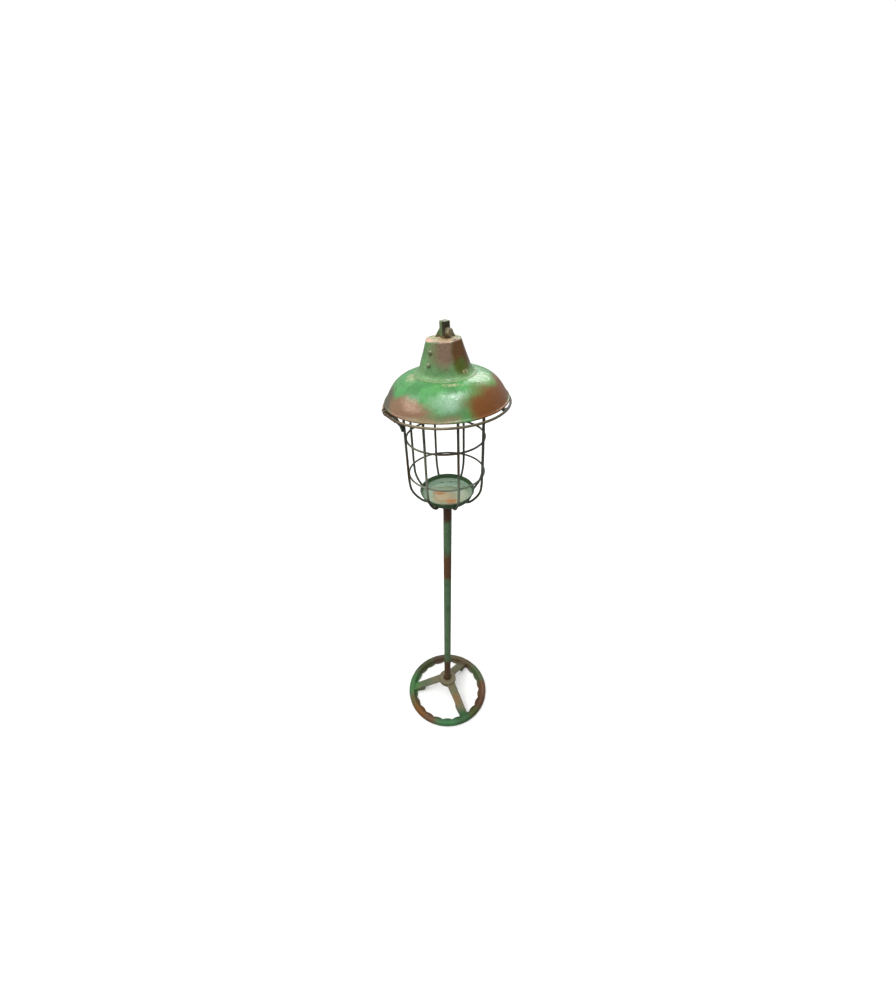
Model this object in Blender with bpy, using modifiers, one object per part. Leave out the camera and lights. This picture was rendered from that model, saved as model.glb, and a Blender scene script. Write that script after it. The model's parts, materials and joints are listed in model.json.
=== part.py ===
"""Caged candle lantern on a handwheel base, styled as an old factory lamp.

Every length is in metres and +Z is up. The origin is on the floor, under the middle of the handwheel.
The lid (shade, neck, lug and the wire ring under the rim) opens on a hinge beside one cage wire.
"""

from math import atan, cos, pi, radians, sin, tau

import bmesh
import bpy
from mathutils import Matrix, Vector

# Driving sizes
GAP = 0.0003                    # between two pieces that touch
WHEEL_R = 0.125                 # handwheel, outside
RIM_BAR_R = 0.0095              # half the thickness of its rim
RIM_BAR_Z = 0.0085              # the bar's middle, so its underside is cut flat
LOBES = 22                      # finger lobes on the inner edge of the rim
LOBE_DEPTH = 0.0042
HUB_R = 0.026
HUB_BOTTOM = 0.054
HUB_TOP = 0.074
SPOKE_ANGLES = (59, 179, 299)   # degrees from +X, seen from above
SPOKE_WIDTH = 0.027

POST_R = 0.0097
POST_WALL = 0.0022
POST_BOTTOM = 0.036
POST_TOP = 0.7688

CAGE_LEAN = -1.5                # degrees about +Y, so the top leans towards -X
CAGE_R = 0.081                  # middle of the upright wires
CAGE_WIRES = 8
FIRST_WIRE = 17                 # degrees from the front, towards +X
WIRE_R = 0.0025
RING_R = 0.0781                 # middle of the two bracing rings
RING_WIRE_R = 0.0020
UPPER_RING_Z = 0.9145
LOWER_RING_Z = 0.8359
TOP_RING_WIRE_R = 0.00225
TOP_RING_Z = 1.0250             # the hidden ring that the lid rests on
TOP_RING_LEAN = -1.4            # on top of the cage's own lean, parallel with the lid

DISH_R = 0.0585
DISH_TOP = 0.791
DISH_FLOOR = 0.777
DISH_SHEET = 0.0015
DISH_WALL_FOOT_R = 0.0525
DISH_RIDGE = 0.0010
DISH_TILT = 2.5                  # degrees about +X, so its front sits lower
FLANGE_R = 0.020
FLANGE_BOTTOM = 0.7697

LID_LEAN = -2.9
LID_X = -0.0015                 # the shade's axis at its rim
RIM_Z = 0.9925
SHADE_R = 0.1150                # middle of the rolled bead
BEAD_R = 0.0020
SHADE_SHEET = 0.0016
SHADE_TOP_Z = 1.0405
SKIRT_RING_R = 0.1187
SKIRT_WIRE_R = 0.00235
SKIRT_RING_Z = 0.9848

NECK_BASE_Z = SHADE_TOP_Z + GAP
NECK_TOP_Z = 1.098
NECK_TOP_R = 0.0308
NECK_TAPER = 0.332              # growth of radius for each unit of height
NECK_WALL = 0.003
NECK_ROUNDING = 0.038           # the height over which eight sides turn into a round
NECK_BOLT_AZIMUTH = -40
NECK_BOLT_HEIGHTS = {"upper": 1.082, "lower": 1.063}

LUG_SIDE = 0.0137
LUG_Z = NECK_TOP_Z + GAP
LUG_HEIGHT = 0.0270
LUG_AT = (0.0030, 0.0035)
LUG_SCREW_Z = 1.108
LUG_SCREW_AZIMUTH = 45

HINGE_AZIMUTH = 287             # the hinge stands beside this cage wire
HINGE_RHO = 0.101               # from the lamp's axis to the pin
HINGE_Z = 0.962
PIN_R = 0.002
EYE_R = 0.0046
BRACKET_WIDTH = 0.008
LINK_THICK = 0.0025

CLIP_AZIMUTHS = (-53, 63, 183)

FINE = 48                       # steps round the large turned pieces
COARSE = 12                     # steps round the small ones


def clear_scene():
    for old in list(bpy.data.objects):
        bpy.data.objects.remove(old, do_unlink=True)


def collection(name):
    made = bpy.data.collections.new(name)
    bpy.context.scene.collection.children.link(made)
    return made


def material(name, colour, roughness, metallic):
    made = bpy.data.materials.new(name)
    made.use_nodes = True
    shader = made.node_tree.nodes["Principled BSDF"]
    shader.inputs["Base Color"].default_value = (*colour, 1)
    shader.inputs["Roughness"].default_value = roughness
    shader.inputs["Metallic"].default_value = metallic
    return made


def around(azimuth, radius, z):
    """The point at an azimuth measured from the front (-Y) towards +X."""
    angle = radians(azimuth)
    return Vector((radius * sin(angle), -radius * cos(angle), z))


def facing(azimuth, rise=0.0):
    """A rotation that turns +X to face an azimuth, then tips it up by rise radians."""
    return Matrix.Rotation(radians(azimuth - 90), 4, "Z") @ Matrix.Rotation(-rise, 4, "Y")


def leaned(x, z, degrees):
    """The frame of a group that leans about +Y through the point (x, 0, z)."""
    turn = Matrix.Rotation(radians(degrees), 4, "Y")
    return Matrix.Translation((x, 0, z)) @ turn @ Matrix.Translation((0, 0, -z))


def new_object(name, data, group, frame, place=None):
    made = bpy.data.objects.new(name, data)
    group.objects.link(made)
    if frame:
        made.parent = frame
    if place is not None:
        made.matrix_basis = place
    return made


def smooth(mesh, degrees=35):
    mesh.shade_smooth()
    mesh.set_sharp_from_angle(angle=radians(degrees))


def painted(made, finish):
    made.data.materials.clear()
    made.data.materials.append(finish)
    return made


def evaluated_mesh(made):
    """The mesh that an object shows, with its modifiers or its curve bevel applied and welded."""
    bpy.context.view_layer.update()
    seen = made.evaluated_get(bpy.context.evaluated_depsgraph_get())
    mesh = bpy.data.meshes.new_from_object(seen)
    work = bmesh.new()
    work.from_mesh(mesh)
    bmesh.ops.remove_doubles(work, verts=work.verts, dist=1e-6)
    bmesh.ops.recalc_face_normals(work, faces=work.faces)
    work.to_mesh(mesh)
    work.free()
    return mesh


def baked(made):
    """Swap an object for a plain mesh object of the same name and place."""
    name, group = made.name, made.users_collection[0]
    parent, place = made.parent, made.matrix_basis.copy()
    mesh = evaluated_mesh(made)
    bpy.data.objects.remove(made, do_unlink=True)
    return new_object(name, mesh, group, parent, place)


def turned(name, outline, group, frame, steps=FINE, place=None):
    """A closed outline of (radius, z) points, running down its outer side, turned about +Z."""
    mesh = bpy.data.meshes.new(name)
    edges = [(i, i + 1) for i in range(len(outline) - 1)]
    if outline[0][0] > 0 or outline[-1][0] > 0:
        edges.append((len(outline) - 1, 0))
    mesh.from_pydata([(r, 0, z) for r, z in outline], edges, [])
    made = new_object(name, mesh, group, frame, place)
    screw = made.modifiers.new("turn", "SCREW")
    screw.steps = screw.render_steps = steps
    screw.use_merge_vertices = True
    screw.merge_threshold = 1e-5
    made = baked(made)
    smooth(made.data)
    return made


def plate(name, outlines, thickness, group, frame, place):
    """Flat outlines in the XZ plane (later ones are holes), thick along Y, centred on Y = 0."""
    curve = bpy.data.curves.new(name, "CURVE")
    curve.dimensions = "2D"
    curve.fill_mode = "BOTH"
    curve.extrude = thickness / 2
    for outline in outlines:
        spline = curve.splines.new("POLY")
        spline.points.add(len(outline) - 1)
        for point, (x, z) in zip(spline.points, outline):
            point.co = (x, z, 0, 1)
        spline.use_cyclic_u = True
    upright = Matrix.Rotation(radians(90), 4, "X")
    made = baked(new_object(name, curve, group, frame, place @ upright))
    made.data.transform(upright)
    made.matrix_basis = place
    return made


def wire(name, points, radius, group, frame):
    curve = bpy.data.curves.new(name, "CURVE")
    curve.dimensions = "3D"
    curve.bevel_depth = radius
    curve.bevel_resolution = 1
    curve.use_fill_caps = True
    spline = curve.splines.new("POLY")
    spline.points.add(len(points) - 1)
    for point, place in zip(spline.points, points):
        point.co = (*place, 1)
    made = baked(new_object(name, curve, group, frame))
    smooth(made.data, 50)
    return made


def torus(name, ring_r, wire_r, group, frame, place, steps=FINE):
    angles = [tau * i / 6 for i in range(6)]
    outline = [(ring_r + wire_r * sin(a), wire_r * cos(a)) for a in angles]
    return turned(name, outline, group, frame, steps, place)


def rod(name, radius, low, high, cutters, frame, place, sides=16):
    """A plain cylinder along its own Z, from low to high, used as a cutter."""
    work = bmesh.new()
    middle = Matrix.Translation((0, 0, (low + high) / 2))
    bmesh.ops.create_cone(work, cap_ends=True, segments=sides, radius1=radius, radius2=radius,
                          depth=high - low, matrix=middle)
    mesh = bpy.data.meshes.new(name)
    work.to_mesh(mesh)
    work.free()
    made = new_object(name, mesh, cutters, frame, place)
    made.hide_render = True
    made.display_type = "WIRE"
    return made


def combine(made, other, operation):
    boolean = made.modifiers.new(operation.lower(), "BOOLEAN")
    boolean.operation = operation
    boolean.object = other
    other.hide_render = True
    other.display_type = "WIRE"
    return made


def spline_through(points, per_span):
    """Points on a smooth curve through the given (radius, z) points."""
    ends = [points[0], *points, points[-1]]
    smoothed = []
    for i in range(1, len(ends) - 2):
        a, b, c, d = (Vector(p) for p in ends[i - 1:i + 3])
        for step in range(per_span):
            t = step / per_span
            smoothed.append(0.5 * (2 * b + (c - a) * t + (2 * a - 5 * b + 4 * c - d) * t * t
                                   + (3 * b - a - 3 * c + d) * t ** 3))
    smoothed.append(Vector(points[-1]))
    return smoothed


def arc(centre, radius, start, end, count):
    """Points on an arc, with angles in degrees from +X towards +Z."""
    turns = [radians(start + (end - start) * i / (count - 1)) for i in range(count)]
    return [(centre[0] + radius * cos(a), centre[1] + radius * sin(a)) for a in turns]


def inner_side(outer, thickness):
    """An open outline moved inwards by a sheet's thickness, in reverse order."""
    inner = []
    for i, point in enumerate(outer):
        before, after = outer[max(i - 1, 0)], outer[min(i + 1, len(outer) - 1)]
        along = (Vector(after) - Vector(before)).normalized()
        inner.append((point[0] + along.y * thickness, point[1] - along.x * thickness))
    return inner[::-1]


# Handwheel base

def make_handwheel(parts, cutters, finish):
    bar_x = WHEEL_R - RIM_BAR_R
    flat = atan((RIM_BAR_Z ** 2 / (RIM_BAR_R ** 2 - RIM_BAR_Z ** 2)) ** 0.5) * 180 / pi
    lip = 0.0030
    tip = WHEEL_R - 0.0225
    middle = (bar_x, RIM_BAR_Z)
    outline = arc(middle, RIM_BAR_R, 172, 0, 6) + arc(middle, RIM_BAR_R, 0, -flat, 3)[1:]
    outline += [(tip + lip, 0), (tip, lip * 0.5), (tip, lip * 1.5), (tip + lip, lip * 2.2)]
    rim = turned("handwheel", outline, parts, None, LOBES * 4)
    for vertex in rim.data.vertices:
        radius = vertex.co.xy.length
        share = max(0.0, 1 - (radius - tip) / lip) if radius < tip + lip else 0.0
        angle = vertex.co.xy.angle_signed(Vector((1, 0)))
        lobe = abs(sin(angle * LOBES / 2))
        vertex.co.xy *= 1 - share * LOBE_DEPTH * lobe / radius
    painted(rim, finish)

    chamfer = 0.0015
    recess_r, recess = 0.0135, 0.002
    bore = POST_R + GAP
    hub = turned("hub_boss", [
        (recess_r, HUB_TOP), (HUB_R - chamfer, HUB_TOP), (HUB_R, HUB_TOP - chamfer),
        (HUB_R, HUB_BOTTOM + 0.005), (HUB_R - 0.004, HUB_BOTTOM), (bore, HUB_BOTTOM),
        (bore, HUB_TOP - recess), (recess_r, HUB_TOP - recess)], cutters, None, 32)
    combine(rim, hub, "UNION")

    spoke_top, spoke_depth = HUB_TOP - 0.008, 0.0055
    start, knee, foot, end = 0.016, 0.070, 0.074, WHEEL_R - 0.016
    slope = (spoke_top - 0.014) / (end - HUB_R)
    knee_z = spoke_top - slope * (knee - HUB_R)
    side = [(start, spoke_top), (HUB_R, spoke_top), (end, 0.014), (end, 0.003),
            (foot, 0.013), (knee, knee_z - spoke_depth),
            (HUB_R, spoke_top - spoke_depth), (start, spoke_top - spoke_depth)]
    for angle in SPOKE_ANGLES:
        place = Matrix.Rotation(radians(angle), 4, "Z")
        spoke = plate(f"spoke_at_{angle}", [side], SPOKE_WIDTH, cutters, None, place)
        for vertex in spoke.data.vertices:
            vertex.co.y *= 1 - 0.16 * vertex.co.x / end
        combine(rim, spoke, "UNION")
    return rim


def make_hub_fasteners(parts, cutters, finish):
    washer_r, washer_thick = 0.021, 0.0028
    top = HUB_BOTTOM - GAP
    bore = POST_R + GAP
    washer = turned("hub_washer", [
        (bore, top), (washer_r, top), (washer_r, top - washer_thick), (bore, top - washer_thick)],
        parts, None, 32)
    painted(washer, finish)
    nut_top = top - washer_thick - GAP
    nut_height, nut_r = 0.009, 0.0172
    work = bmesh.new()
    middle = Matrix.Translation((0, 0, nut_top - nut_height / 2))
    bmesh.ops.create_cone(work, cap_ends=True, segments=6, radius1=nut_r, radius2=nut_r,
                          depth=nut_height, matrix=middle)
    mesh = bpy.data.meshes.new("hub_locknut")
    work.to_mesh(mesh)
    work.free()
    nut = painted(new_object("hub_locknut", mesh, parts, None), finish)
    hole = rod("hub_locknut_hole", bore, nut_top - 0.02, nut_top + 0.01, cutters, None, None, 32)
    combine(nut, hole, "DIFFERENCE")


def make_post(parts, finish):
    inside = POST_R - POST_WALL
    post = turned("post", [(inside, POST_TOP), (POST_R, POST_TOP),
                           (POST_R, POST_BOTTOM), (inside, POST_BOTTOM)], parts, None, 32)
    painted(post, finish)


# Candle dish and cage

def make_dish(parts, frame, dish_finish, flange_finish):
    underside = DISH_FLOOR - DISH_SHEET
    lip_r = 0.0012
    foot = DISH_WALL_FOOT_R
    outline = [(0, DISH_FLOOR)]
    for start in (0.026, 0.042):
        for step, height in ((0, 0), (0.0015, DISH_RIDGE), (0.0035, DISH_RIDGE), (0.005, 0)):
            outline.append((start + step, DISH_FLOOR + height))
    outline += [(foot - 0.0025, DISH_FLOOR), (foot - 0.0008, DISH_FLOOR + 0.0012)]
    outline += arc((DISH_R - lip_r, DISH_TOP - lip_r), lip_r, 150, -30, 5)
    outline += [(foot + 0.0006, DISH_FLOOR + 0.0012), (foot - 0.001, underside), (0, underside)]
    tilt = Matrix.Rotation(radians(DISH_TILT), 4, "X")
    place = Matrix.Translation((0, 0, DISH_FLOOR)) @ tilt @ Matrix.Translation((0, 0, -DISH_FLOOR))
    painted(turned("candle_dish", outline, parts, frame, 40, place), dish_finish)
    top = underside - GAP
    edge = 0.0008
    flange = turned("post_flange", [
        (0.004, top), (FLANGE_R - edge, top), (FLANGE_R, top - edge), (FLANGE_R, FLANGE_BOTTOM),
        (0.004, FLANGE_BOTTOM)], parts, frame, 24, place)
    painted(flange, flange_finish)


def wire_azimuth(index):
    return FIRST_WIRE + 360 / CAGE_WIRES * index


def top_ring_height(azimuth):
    return TOP_RING_Z - CAGE_R * sin(radians(azimuth)) * sin(radians(TOP_RING_LEAN))


def make_cage(parts, cutters, frame, finish):
    bend = [(CAGE_R, 0.832), (0.0793, 0.811), (0.0745, 0.797), (0.067, 0.7855), (0.059, 0.7760),
            (0.051, 0.7696), (0.044, 0.7680)]
    for index in range(CAGE_WIRES):
        azimuth = wire_azimuth(index)
        top = top_ring_height(azimuth) - WIRE_R - 2 * GAP
        outline = [(CAGE_R, top), *spline_through(bend, 2)]
        points = [around(azimuth, r, z) for r, z in outline]
        painted(wire(f"cage_wire_{index + 1}", points, WIRE_R, parts, frame), finish)

    for name, height in (("upper", UPPER_RING_Z), ("lower", LOWER_RING_Z)):
        ring = torus(f"cage_ring_{name}", RING_R, RING_WIRE_R, parts, frame,
                     Matrix.Translation((0, 0, height)))
        for index in range(CAGE_WIRES):
            spot = Matrix.Translation(around(wire_azimuth(index), CAGE_R, 0))
            notch = rod(f"{name}_notch_{index + 1}", WIRE_R + GAP, height - 0.01, height + 0.01,
                        cutters, frame, spot)
            combine(ring, notch, "DIFFERENCE")
        painted(ring, finish)

    tip = Matrix.Translation((0, 0, TOP_RING_Z)) @ Matrix.Rotation(radians(TOP_RING_LEAN), 4, "Y")
    painted(torus("cage_top_ring", CAGE_R, TOP_RING_WIRE_R, parts, frame, tip), finish)


# Lid

def shade_outer():
    """The dome's outer side, from the opening under the neck down to the bead."""
    sweep = spline_through([(0.052, 1.0402), (0.066, 1.0388), (0.080, 1.0342), (0.092, 1.0267),
                            (0.1005, 1.0175), (0.1085, 1.0050), (0.1132, 0.9962)], 1)
    return [(0.040, SHADE_TOP_Z), *[(p.x, p.y) for p in sweep]]


def make_shade(parts, frame, finish):
    outer = shade_outer()
    bead = arc((SHADE_R, RIM_Z), BEAD_R, 95, -175, 6)
    outline = outer + bead + inner_side(outer, SHADE_SHEET)
    painted(turned("shade", outline, parts, frame, FINE), finish)


def neck_radius(azimuth, z):
    """The neck is an eight-sided cone at the top and a round one at the foot."""
    cone = NECK_TOP_R + (NECK_TOP_Z - z) * NECK_TAPER
    round_share = min(1.0, max(0.0, (NECK_TOP_Z - z) / NECK_ROUNDING))
    facet = (azimuth + 22.5) % 45 - 22.5
    eight_sided = cone * cos(radians(11)) / cos(radians(facet))
    return eight_sided * (1 - round_share) + cone * round_share


def make_neck(parts, cutters, frame, finish):
    steps = 32
    foot = [(NECK_BASE_Z, 0.0035), (NECK_BASE_Z + 0.0012, 0.0028), (NECK_BASE_Z + 0.0040, 0.0006)]
    heights = [(z, 0.0) for z in (1.050, 1.060, 1.072, 1.084, NECK_TOP_Z - 0.0012)]
    outside = foot + heights + [(NECK_TOP_Z, -0.0014)]
    inside = [(z, -NECK_WALL) for z in (NECK_TOP_Z - NECK_WALL, 1.072, 1.055, NECK_BASE_Z)]
    work = bmesh.new()
    rings = []
    for z, extra in inside + outside:
        angles = [360 * i / steps for i in range(steps)]
        rings.append([work.verts.new(around(a, neck_radius(a, z) + extra, z)) for a in angles])
    for lower, upper in zip(rings, rings[1:]):
        for i in range(steps):
            j = (i + 1) % steps
            work.faces.new((lower[i], lower[j], upper[j], upper[i]))
    work.faces.new(rings[0][::-1])
    work.faces.new(rings[-1])
    bmesh.ops.recalc_face_normals(work, faces=work.faces)
    mesh = bpy.data.meshes.new("neck")
    work.to_mesh(mesh)
    work.free()
    smooth(mesh, 18)
    neck = painted(new_object("neck", mesh, parts, frame), finish)
    for name, z in NECK_BOLT_HEIGHTS.items():
        hole = rod(f"neck_hole_{name}", 0.0028, -0.012, 0.008, cutters, frame, neck_bolt_place(z))
        combine(neck, hole, "DIFFERENCE")


def neck_bolt_place(z):
    """The frame of a bolt whose +Z leaves the neck's wall square to it."""
    spot = around(NECK_BOLT_AZIMUTH, neck_radius(NECK_BOLT_AZIMUTH, z), z)
    turn = facing(NECK_BOLT_AZIMUTH, atan(NECK_TAPER)) @ Matrix.Rotation(radians(90), 4, "Y")
    return Matrix.Translation(spot) @ turn


def hexagon(name, across, low, high, parts, frame, place):
    work = bmesh.new()
    radius = across / 2 / cos(radians(30))
    bmesh.ops.create_cone(work, cap_ends=True, segments=6, radius1=radius, radius2=radius,
                          depth=high - low, matrix=Matrix.Translation((0, 0, (low + high) / 2)))
    mesh = bpy.data.meshes.new(name)
    work.to_mesh(mesh)
    work.free()
    return new_object(name, mesh, parts, frame, place)


def make_neck_bolts(parts, cutters, frame, finish):
    head_r, head_height, shank_r, shank = 0.0043, 0.0034, 0.0025, 0.0085
    seat = 2 * GAP
    for name, z in NECK_BOLT_HEIGHTS.items():
        place = neck_bolt_place(z)
        dome = [(head_r * sin(radians(a)), seat + head_height * cos(radians(a)))
                for a in (0, 30, 55, 75, 90)]
        outline = dome + [(head_r, seat), (shank_r, seat), (shank_r, -shank), (0, -shank)]
        outline = [point for i, point in enumerate(outline) if i == 0 or point != outline[i - 1]]
        painted(turned(f"neck_bolt_{name}", outline, parts, frame, COARSE, place), finish)
        low = -NECK_WALL - 2 * GAP - 0.0034
        nut = hexagon(f"neck_nut_{name}", 0.008, low, low + 0.0028, parts, frame, place)
        hole = rod(f"neck_nut_hole_{name}", shank_r + GAP, -0.02, 0.01, cutters, frame, place)
        painted(combine(nut, hole, "DIFFERENCE"), finish)


def make_lug(parts, cutters, frame, finish, screw_finish):
    middle = Matrix.Translation((LUG_AT[0], LUG_AT[1], LUG_Z + LUG_HEIGHT / 2))
    work = bmesh.new()
    turn = Matrix.Rotation(radians(45), 4, "Z")
    size = Matrix.Diagonal((LUG_SIDE, LUG_SIDE, LUG_HEIGHT, 1))
    bmesh.ops.create_cube(work, size=1, matrix=middle @ turn @ size)
    mesh = bpy.data.meshes.new("top_lug")
    work.to_mesh(mesh)
    work.free()
    lug = painted(new_object("top_lug", mesh, parts, frame), finish)
    bevel = lug.modifiers.new("edges", "BEVEL")
    bevel.width = 0.0009
    bevel.segments = 1

    base, top, rise = 0.0177, 0.0080, 0.016
    fin = [(-base, 0), (base, 0), (base - 0.001, 0.002), (top, rise), (-top, rise), (0.001 - base, 0.002)]
    place = Matrix.Translation((LUG_AT[0], LUG_AT[1] + LUG_SIDE * 0.62, LUG_Z))
    combine(lug, plate("lug_fin", [fin], 0.003, cutters, frame, place), "UNION")

    screw_at = Matrix.Translation((LUG_AT[0], LUG_AT[1], LUG_SCREW_Z))
    place = screw_at @ facing(LUG_SCREW_AZIMUTH) @ Matrix.Rotation(radians(90), 4, "Y")
    face = LUG_SIDE / 2 + GAP
    shank_r, washer_r, washer_thick = 0.004, 0.0076, 0.0014
    across_flats, head_height = 0.012, 0.0052
    combine(lug, rod("lug_hole", shank_r + GAP, -0.003, 0.02, cutters, frame, place), "DIFFERENCE")
    washer_top = face + washer_thick
    washer = turned("lug_washer", [
        (shank_r + GAP, washer_top), (washer_r, washer_top), (washer_r, face), (shank_r + GAP, face)],
        parts, frame, 24, place)
    painted(washer, screw_finish)
    head_low = washer_top + GAP
    head = hexagon("lug_screw", across_flats, head_low, head_low + head_height, parts, frame, place)
    shank = rod("lug_screw_shank", shank_r, -0.002, head_low + 0.001, cutters, frame, place, 16)
    painted(combine(head, shank, "UNION"), screw_finish)


def make_skirt_ring(parts, frame, ring_finish, clip_finish):
    place = Matrix.Translation((0, 0, SKIRT_RING_Z))
    ring = torus("skirt_ring", SKIRT_RING_R, SKIRT_WIRE_R, parts, frame, place, 56)
    painted(ring, ring_finish)
    reach = SKIRT_RING_R - SKIRT_WIRE_R - GAP
    strap = [(0.1074, 0.9985), (0.1091, 0.9985), (0.1122, 0.9890), (0.1130, 0.9868), (reach, 0.9858),
             (reach, 0.9838), (0.1112, 0.9838), (0.1106, 0.9880)]
    for index, azimuth in enumerate(CLIP_AZIMUTHS):
        clip = plate(f"shade_clip_{index + 1}", [strap], 0.009, parts, frame, facing(azimuth))
        painted(clip, clip_finish)


# Hinge

def stadium(a, b, radius_a, radius_b, count=9):
    """The outline round two circles, as on a chain link."""
    along = Vector(b) - Vector(a)
    heading = along.angle_signed(Vector((1, 0))) * 180 / pi
    return (arc(b, radius_b, heading - 90, heading + 90, count)
            + arc(a, radius_a, heading + 90, heading + 270, count))


def circle(centre, radius, count=16):
    return arc(centre, radius, 360 - 360 / count, 0, count)


def make_hinge(parts, cage_matrix, lid_matrix, hinge_frame, hinge_matrix, finish):
    to_hinge = hinge_matrix.inverted()
    ring = to_hinge @ lid_matrix @ around(HINGE_AZIMUTH, SKIRT_RING_R, SKIRT_RING_Z)
    upright = to_hinge @ cage_matrix @ around(HINGE_AZIMUTH, CAGE_R, HINGE_Z - 0.025)
    eye_hole = circle((0, 0), PIN_R + GAP)

    link = stadium((0, 0), (ring.x, ring.z), EYE_R, EYE_R)
    ring_hole = circle((ring.x, ring.z), SKIRT_WIRE_R + 2 * GAP)
    offset = BRACKET_WIDTH / 2 + 2 * GAP + LINK_THICK / 2
    for name, y in (("front", offset), ("rear", -offset)):
        place = hinge_matrix @ Matrix.Translation((0, y, 0))
        made = plate(f"hinge_link_{name}", [link, eye_hole, ring_hole], LINK_THICK, parts, None, place)
        made.parent = hinge_frame
        made.matrix_parent_inverse = to_hinge
        painted(made, finish)

    back = upright.x + WIRE_R + 2 * GAP
    strap = [(EYE_R * cos(radians(a)), EYE_R * sin(radians(a))) for a in range(-75, 150, 25)]
    foot = -0.025
    lower = spline_through([(-EYE_R - 0.002, -0.003), (back + 0.0025, -0.010), (back + 0.0004, foot)], 3)
    upper = spline_through([(back + 0.0034, foot), (back + 0.0066, -0.0145), (-0.0015, -0.0075)], 3)
    strap += [(p.x, p.y) for p in lower] + [(p.x, p.y) for p in upper]
    bracket = plate("hinge_bracket", [strap, eye_hole], BRACKET_WIDTH, parts, None, hinge_matrix)
    painted(bracket, finish)

    head_r, head = 0.0036, 0.0014
    half = offset + LINK_THICK / 2 + GAP
    side_on = hinge_matrix @ Matrix.Rotation(radians(90), 4, "X")
    pin = turned("hinge_pin", [
        (0, half + head), (head_r * 0.7, half + head), (head_r, half + head * 0.4), (head_r, half),
        (PIN_R, half), (PIN_R, -half), (head_r, -half), (head_r, -half - head * 0.4),
        (head_r * 0.7, -half - head), (0, -half - head)], parts, None, COARSE, side_on)
    painted(pin, finish)


def empty(name, matrix, group, parent=None):
    made = new_object(name, None, group, None, matrix)
    made.empty_display_size = 0.05
    if parent:
        made.parent = parent
        made.matrix_parent_inverse = parent.matrix_basis.inverted()
    return made


def main():
    clear_scene()
    parts = collection("caged_candle_lantern")
    cutters = collection("cutters")

    green = material("green_paint", (0.11, 0.32, 0.14), 0.4, 0.0)
    worn_iron = material("painted_cast_iron", (0.16, 0.20, 0.10), 0.5, 0.2)
    dark_wire = material("dark_wire", (0.06, 0.08, 0.06), 0.5, 0.5)
    dish_paint = material("sage_paint", (0.32, 0.42, 0.30), 0.45, 0.1)
    fastener = material("fastener_steel", (0.14, 0.13, 0.09), 0.45, 0.8)
    tan_wire = material("tan_wire", (0.22, 0.18, 0.12), 0.5, 0.4)

    make_handwheel(parts, cutters, worn_iron)
    make_hub_fasteners(parts, cutters, fastener)
    make_post(parts, green)

    cage_matrix = leaned(0, POST_TOP, CAGE_LEAN)
    cage = empty("cage_lean", cage_matrix, parts)
    make_dish(parts, cage, dish_paint, fastener)
    make_cage(parts, cutters, cage, dark_wire)

    pin_at = around(HINGE_AZIMUTH, HINGE_RHO, HINGE_Z)
    hinge_matrix = Matrix.Translation(pin_at) @ facing(HINGE_AZIMUTH)
    lid_matrix = leaned(LID_X, RIM_Z, LID_LEAN)
    hinge = empty("lid_hinge", hinge_matrix, parts)
    lid = empty("lid_lean", lid_matrix, parts, hinge)
    make_shade(parts, lid, green)
    make_neck(parts, cutters, lid, green)
    make_neck_bolts(parts, cutters, lid, fastener)
    make_lug(parts, cutters, lid, green, fastener)
    make_skirt_ring(parts, lid, tan_wire, dark_wire)
    make_hinge(parts, cage_matrix, lid_matrix, hinge, hinge_matrix, dark_wire)


main()
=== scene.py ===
"""Caged candle lantern on a handwheel base: its finished look, as an add-on that also runs as a script."""

import json
from math import cos, exp, pi, radians, sin, tau

import bmesh
import bpy
from bpy.props import FloatProperty, FloatVectorProperty, IntProperty, PointerProperty
from mathutils import Matrix, Vector, noise

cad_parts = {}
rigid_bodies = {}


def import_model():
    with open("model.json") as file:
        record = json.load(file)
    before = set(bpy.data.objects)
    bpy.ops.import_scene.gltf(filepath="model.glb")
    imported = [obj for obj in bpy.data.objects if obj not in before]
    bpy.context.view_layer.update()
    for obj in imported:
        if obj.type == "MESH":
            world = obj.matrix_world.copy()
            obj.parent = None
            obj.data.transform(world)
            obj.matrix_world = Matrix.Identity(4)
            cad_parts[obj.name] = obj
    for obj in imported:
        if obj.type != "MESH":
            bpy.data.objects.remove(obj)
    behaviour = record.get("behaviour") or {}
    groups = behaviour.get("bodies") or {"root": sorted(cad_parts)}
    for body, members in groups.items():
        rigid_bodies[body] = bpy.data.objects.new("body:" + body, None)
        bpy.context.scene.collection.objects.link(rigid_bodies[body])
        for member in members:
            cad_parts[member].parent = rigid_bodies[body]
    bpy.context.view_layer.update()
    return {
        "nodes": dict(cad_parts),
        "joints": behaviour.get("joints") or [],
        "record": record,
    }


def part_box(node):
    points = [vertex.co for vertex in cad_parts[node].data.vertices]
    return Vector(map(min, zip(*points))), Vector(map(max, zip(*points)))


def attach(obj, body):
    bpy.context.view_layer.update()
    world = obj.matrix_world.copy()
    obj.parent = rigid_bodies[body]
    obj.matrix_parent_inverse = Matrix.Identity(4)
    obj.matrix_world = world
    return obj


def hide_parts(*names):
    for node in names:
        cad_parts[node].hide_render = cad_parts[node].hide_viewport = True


bl_info = {
    "name": "Caged Candle Lantern",
    "version": (1, 0, 0),
    "blender": (4, 5, 0),
    "location": "3D View > Sidebar > Lantern",
    "description": "Builds a worn green floor lantern with a wire cage and a handwheel base",
    "category": "Object",
}

for leftover in list(bpy.data.objects):
    bpy.data.objects.remove(leftover, do_unlink=True)
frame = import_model()


# Places, read from the frame

def middle(node):
    low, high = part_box(node)
    return (low + high) / 2


def mount_axis(name):
    found = [mount for mount in frame["record"]["mounts"] if mount["name"] == name]
    return Vector(found[0]["axis"])


def tilted(origin, up):
    """A frame at origin whose +Z points along up, turned no more than it has to be."""
    return Matrix.Translation(origin) @ Vector((0, 0, 1)).rotation_difference(up).to_matrix().to_4x4()


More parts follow.
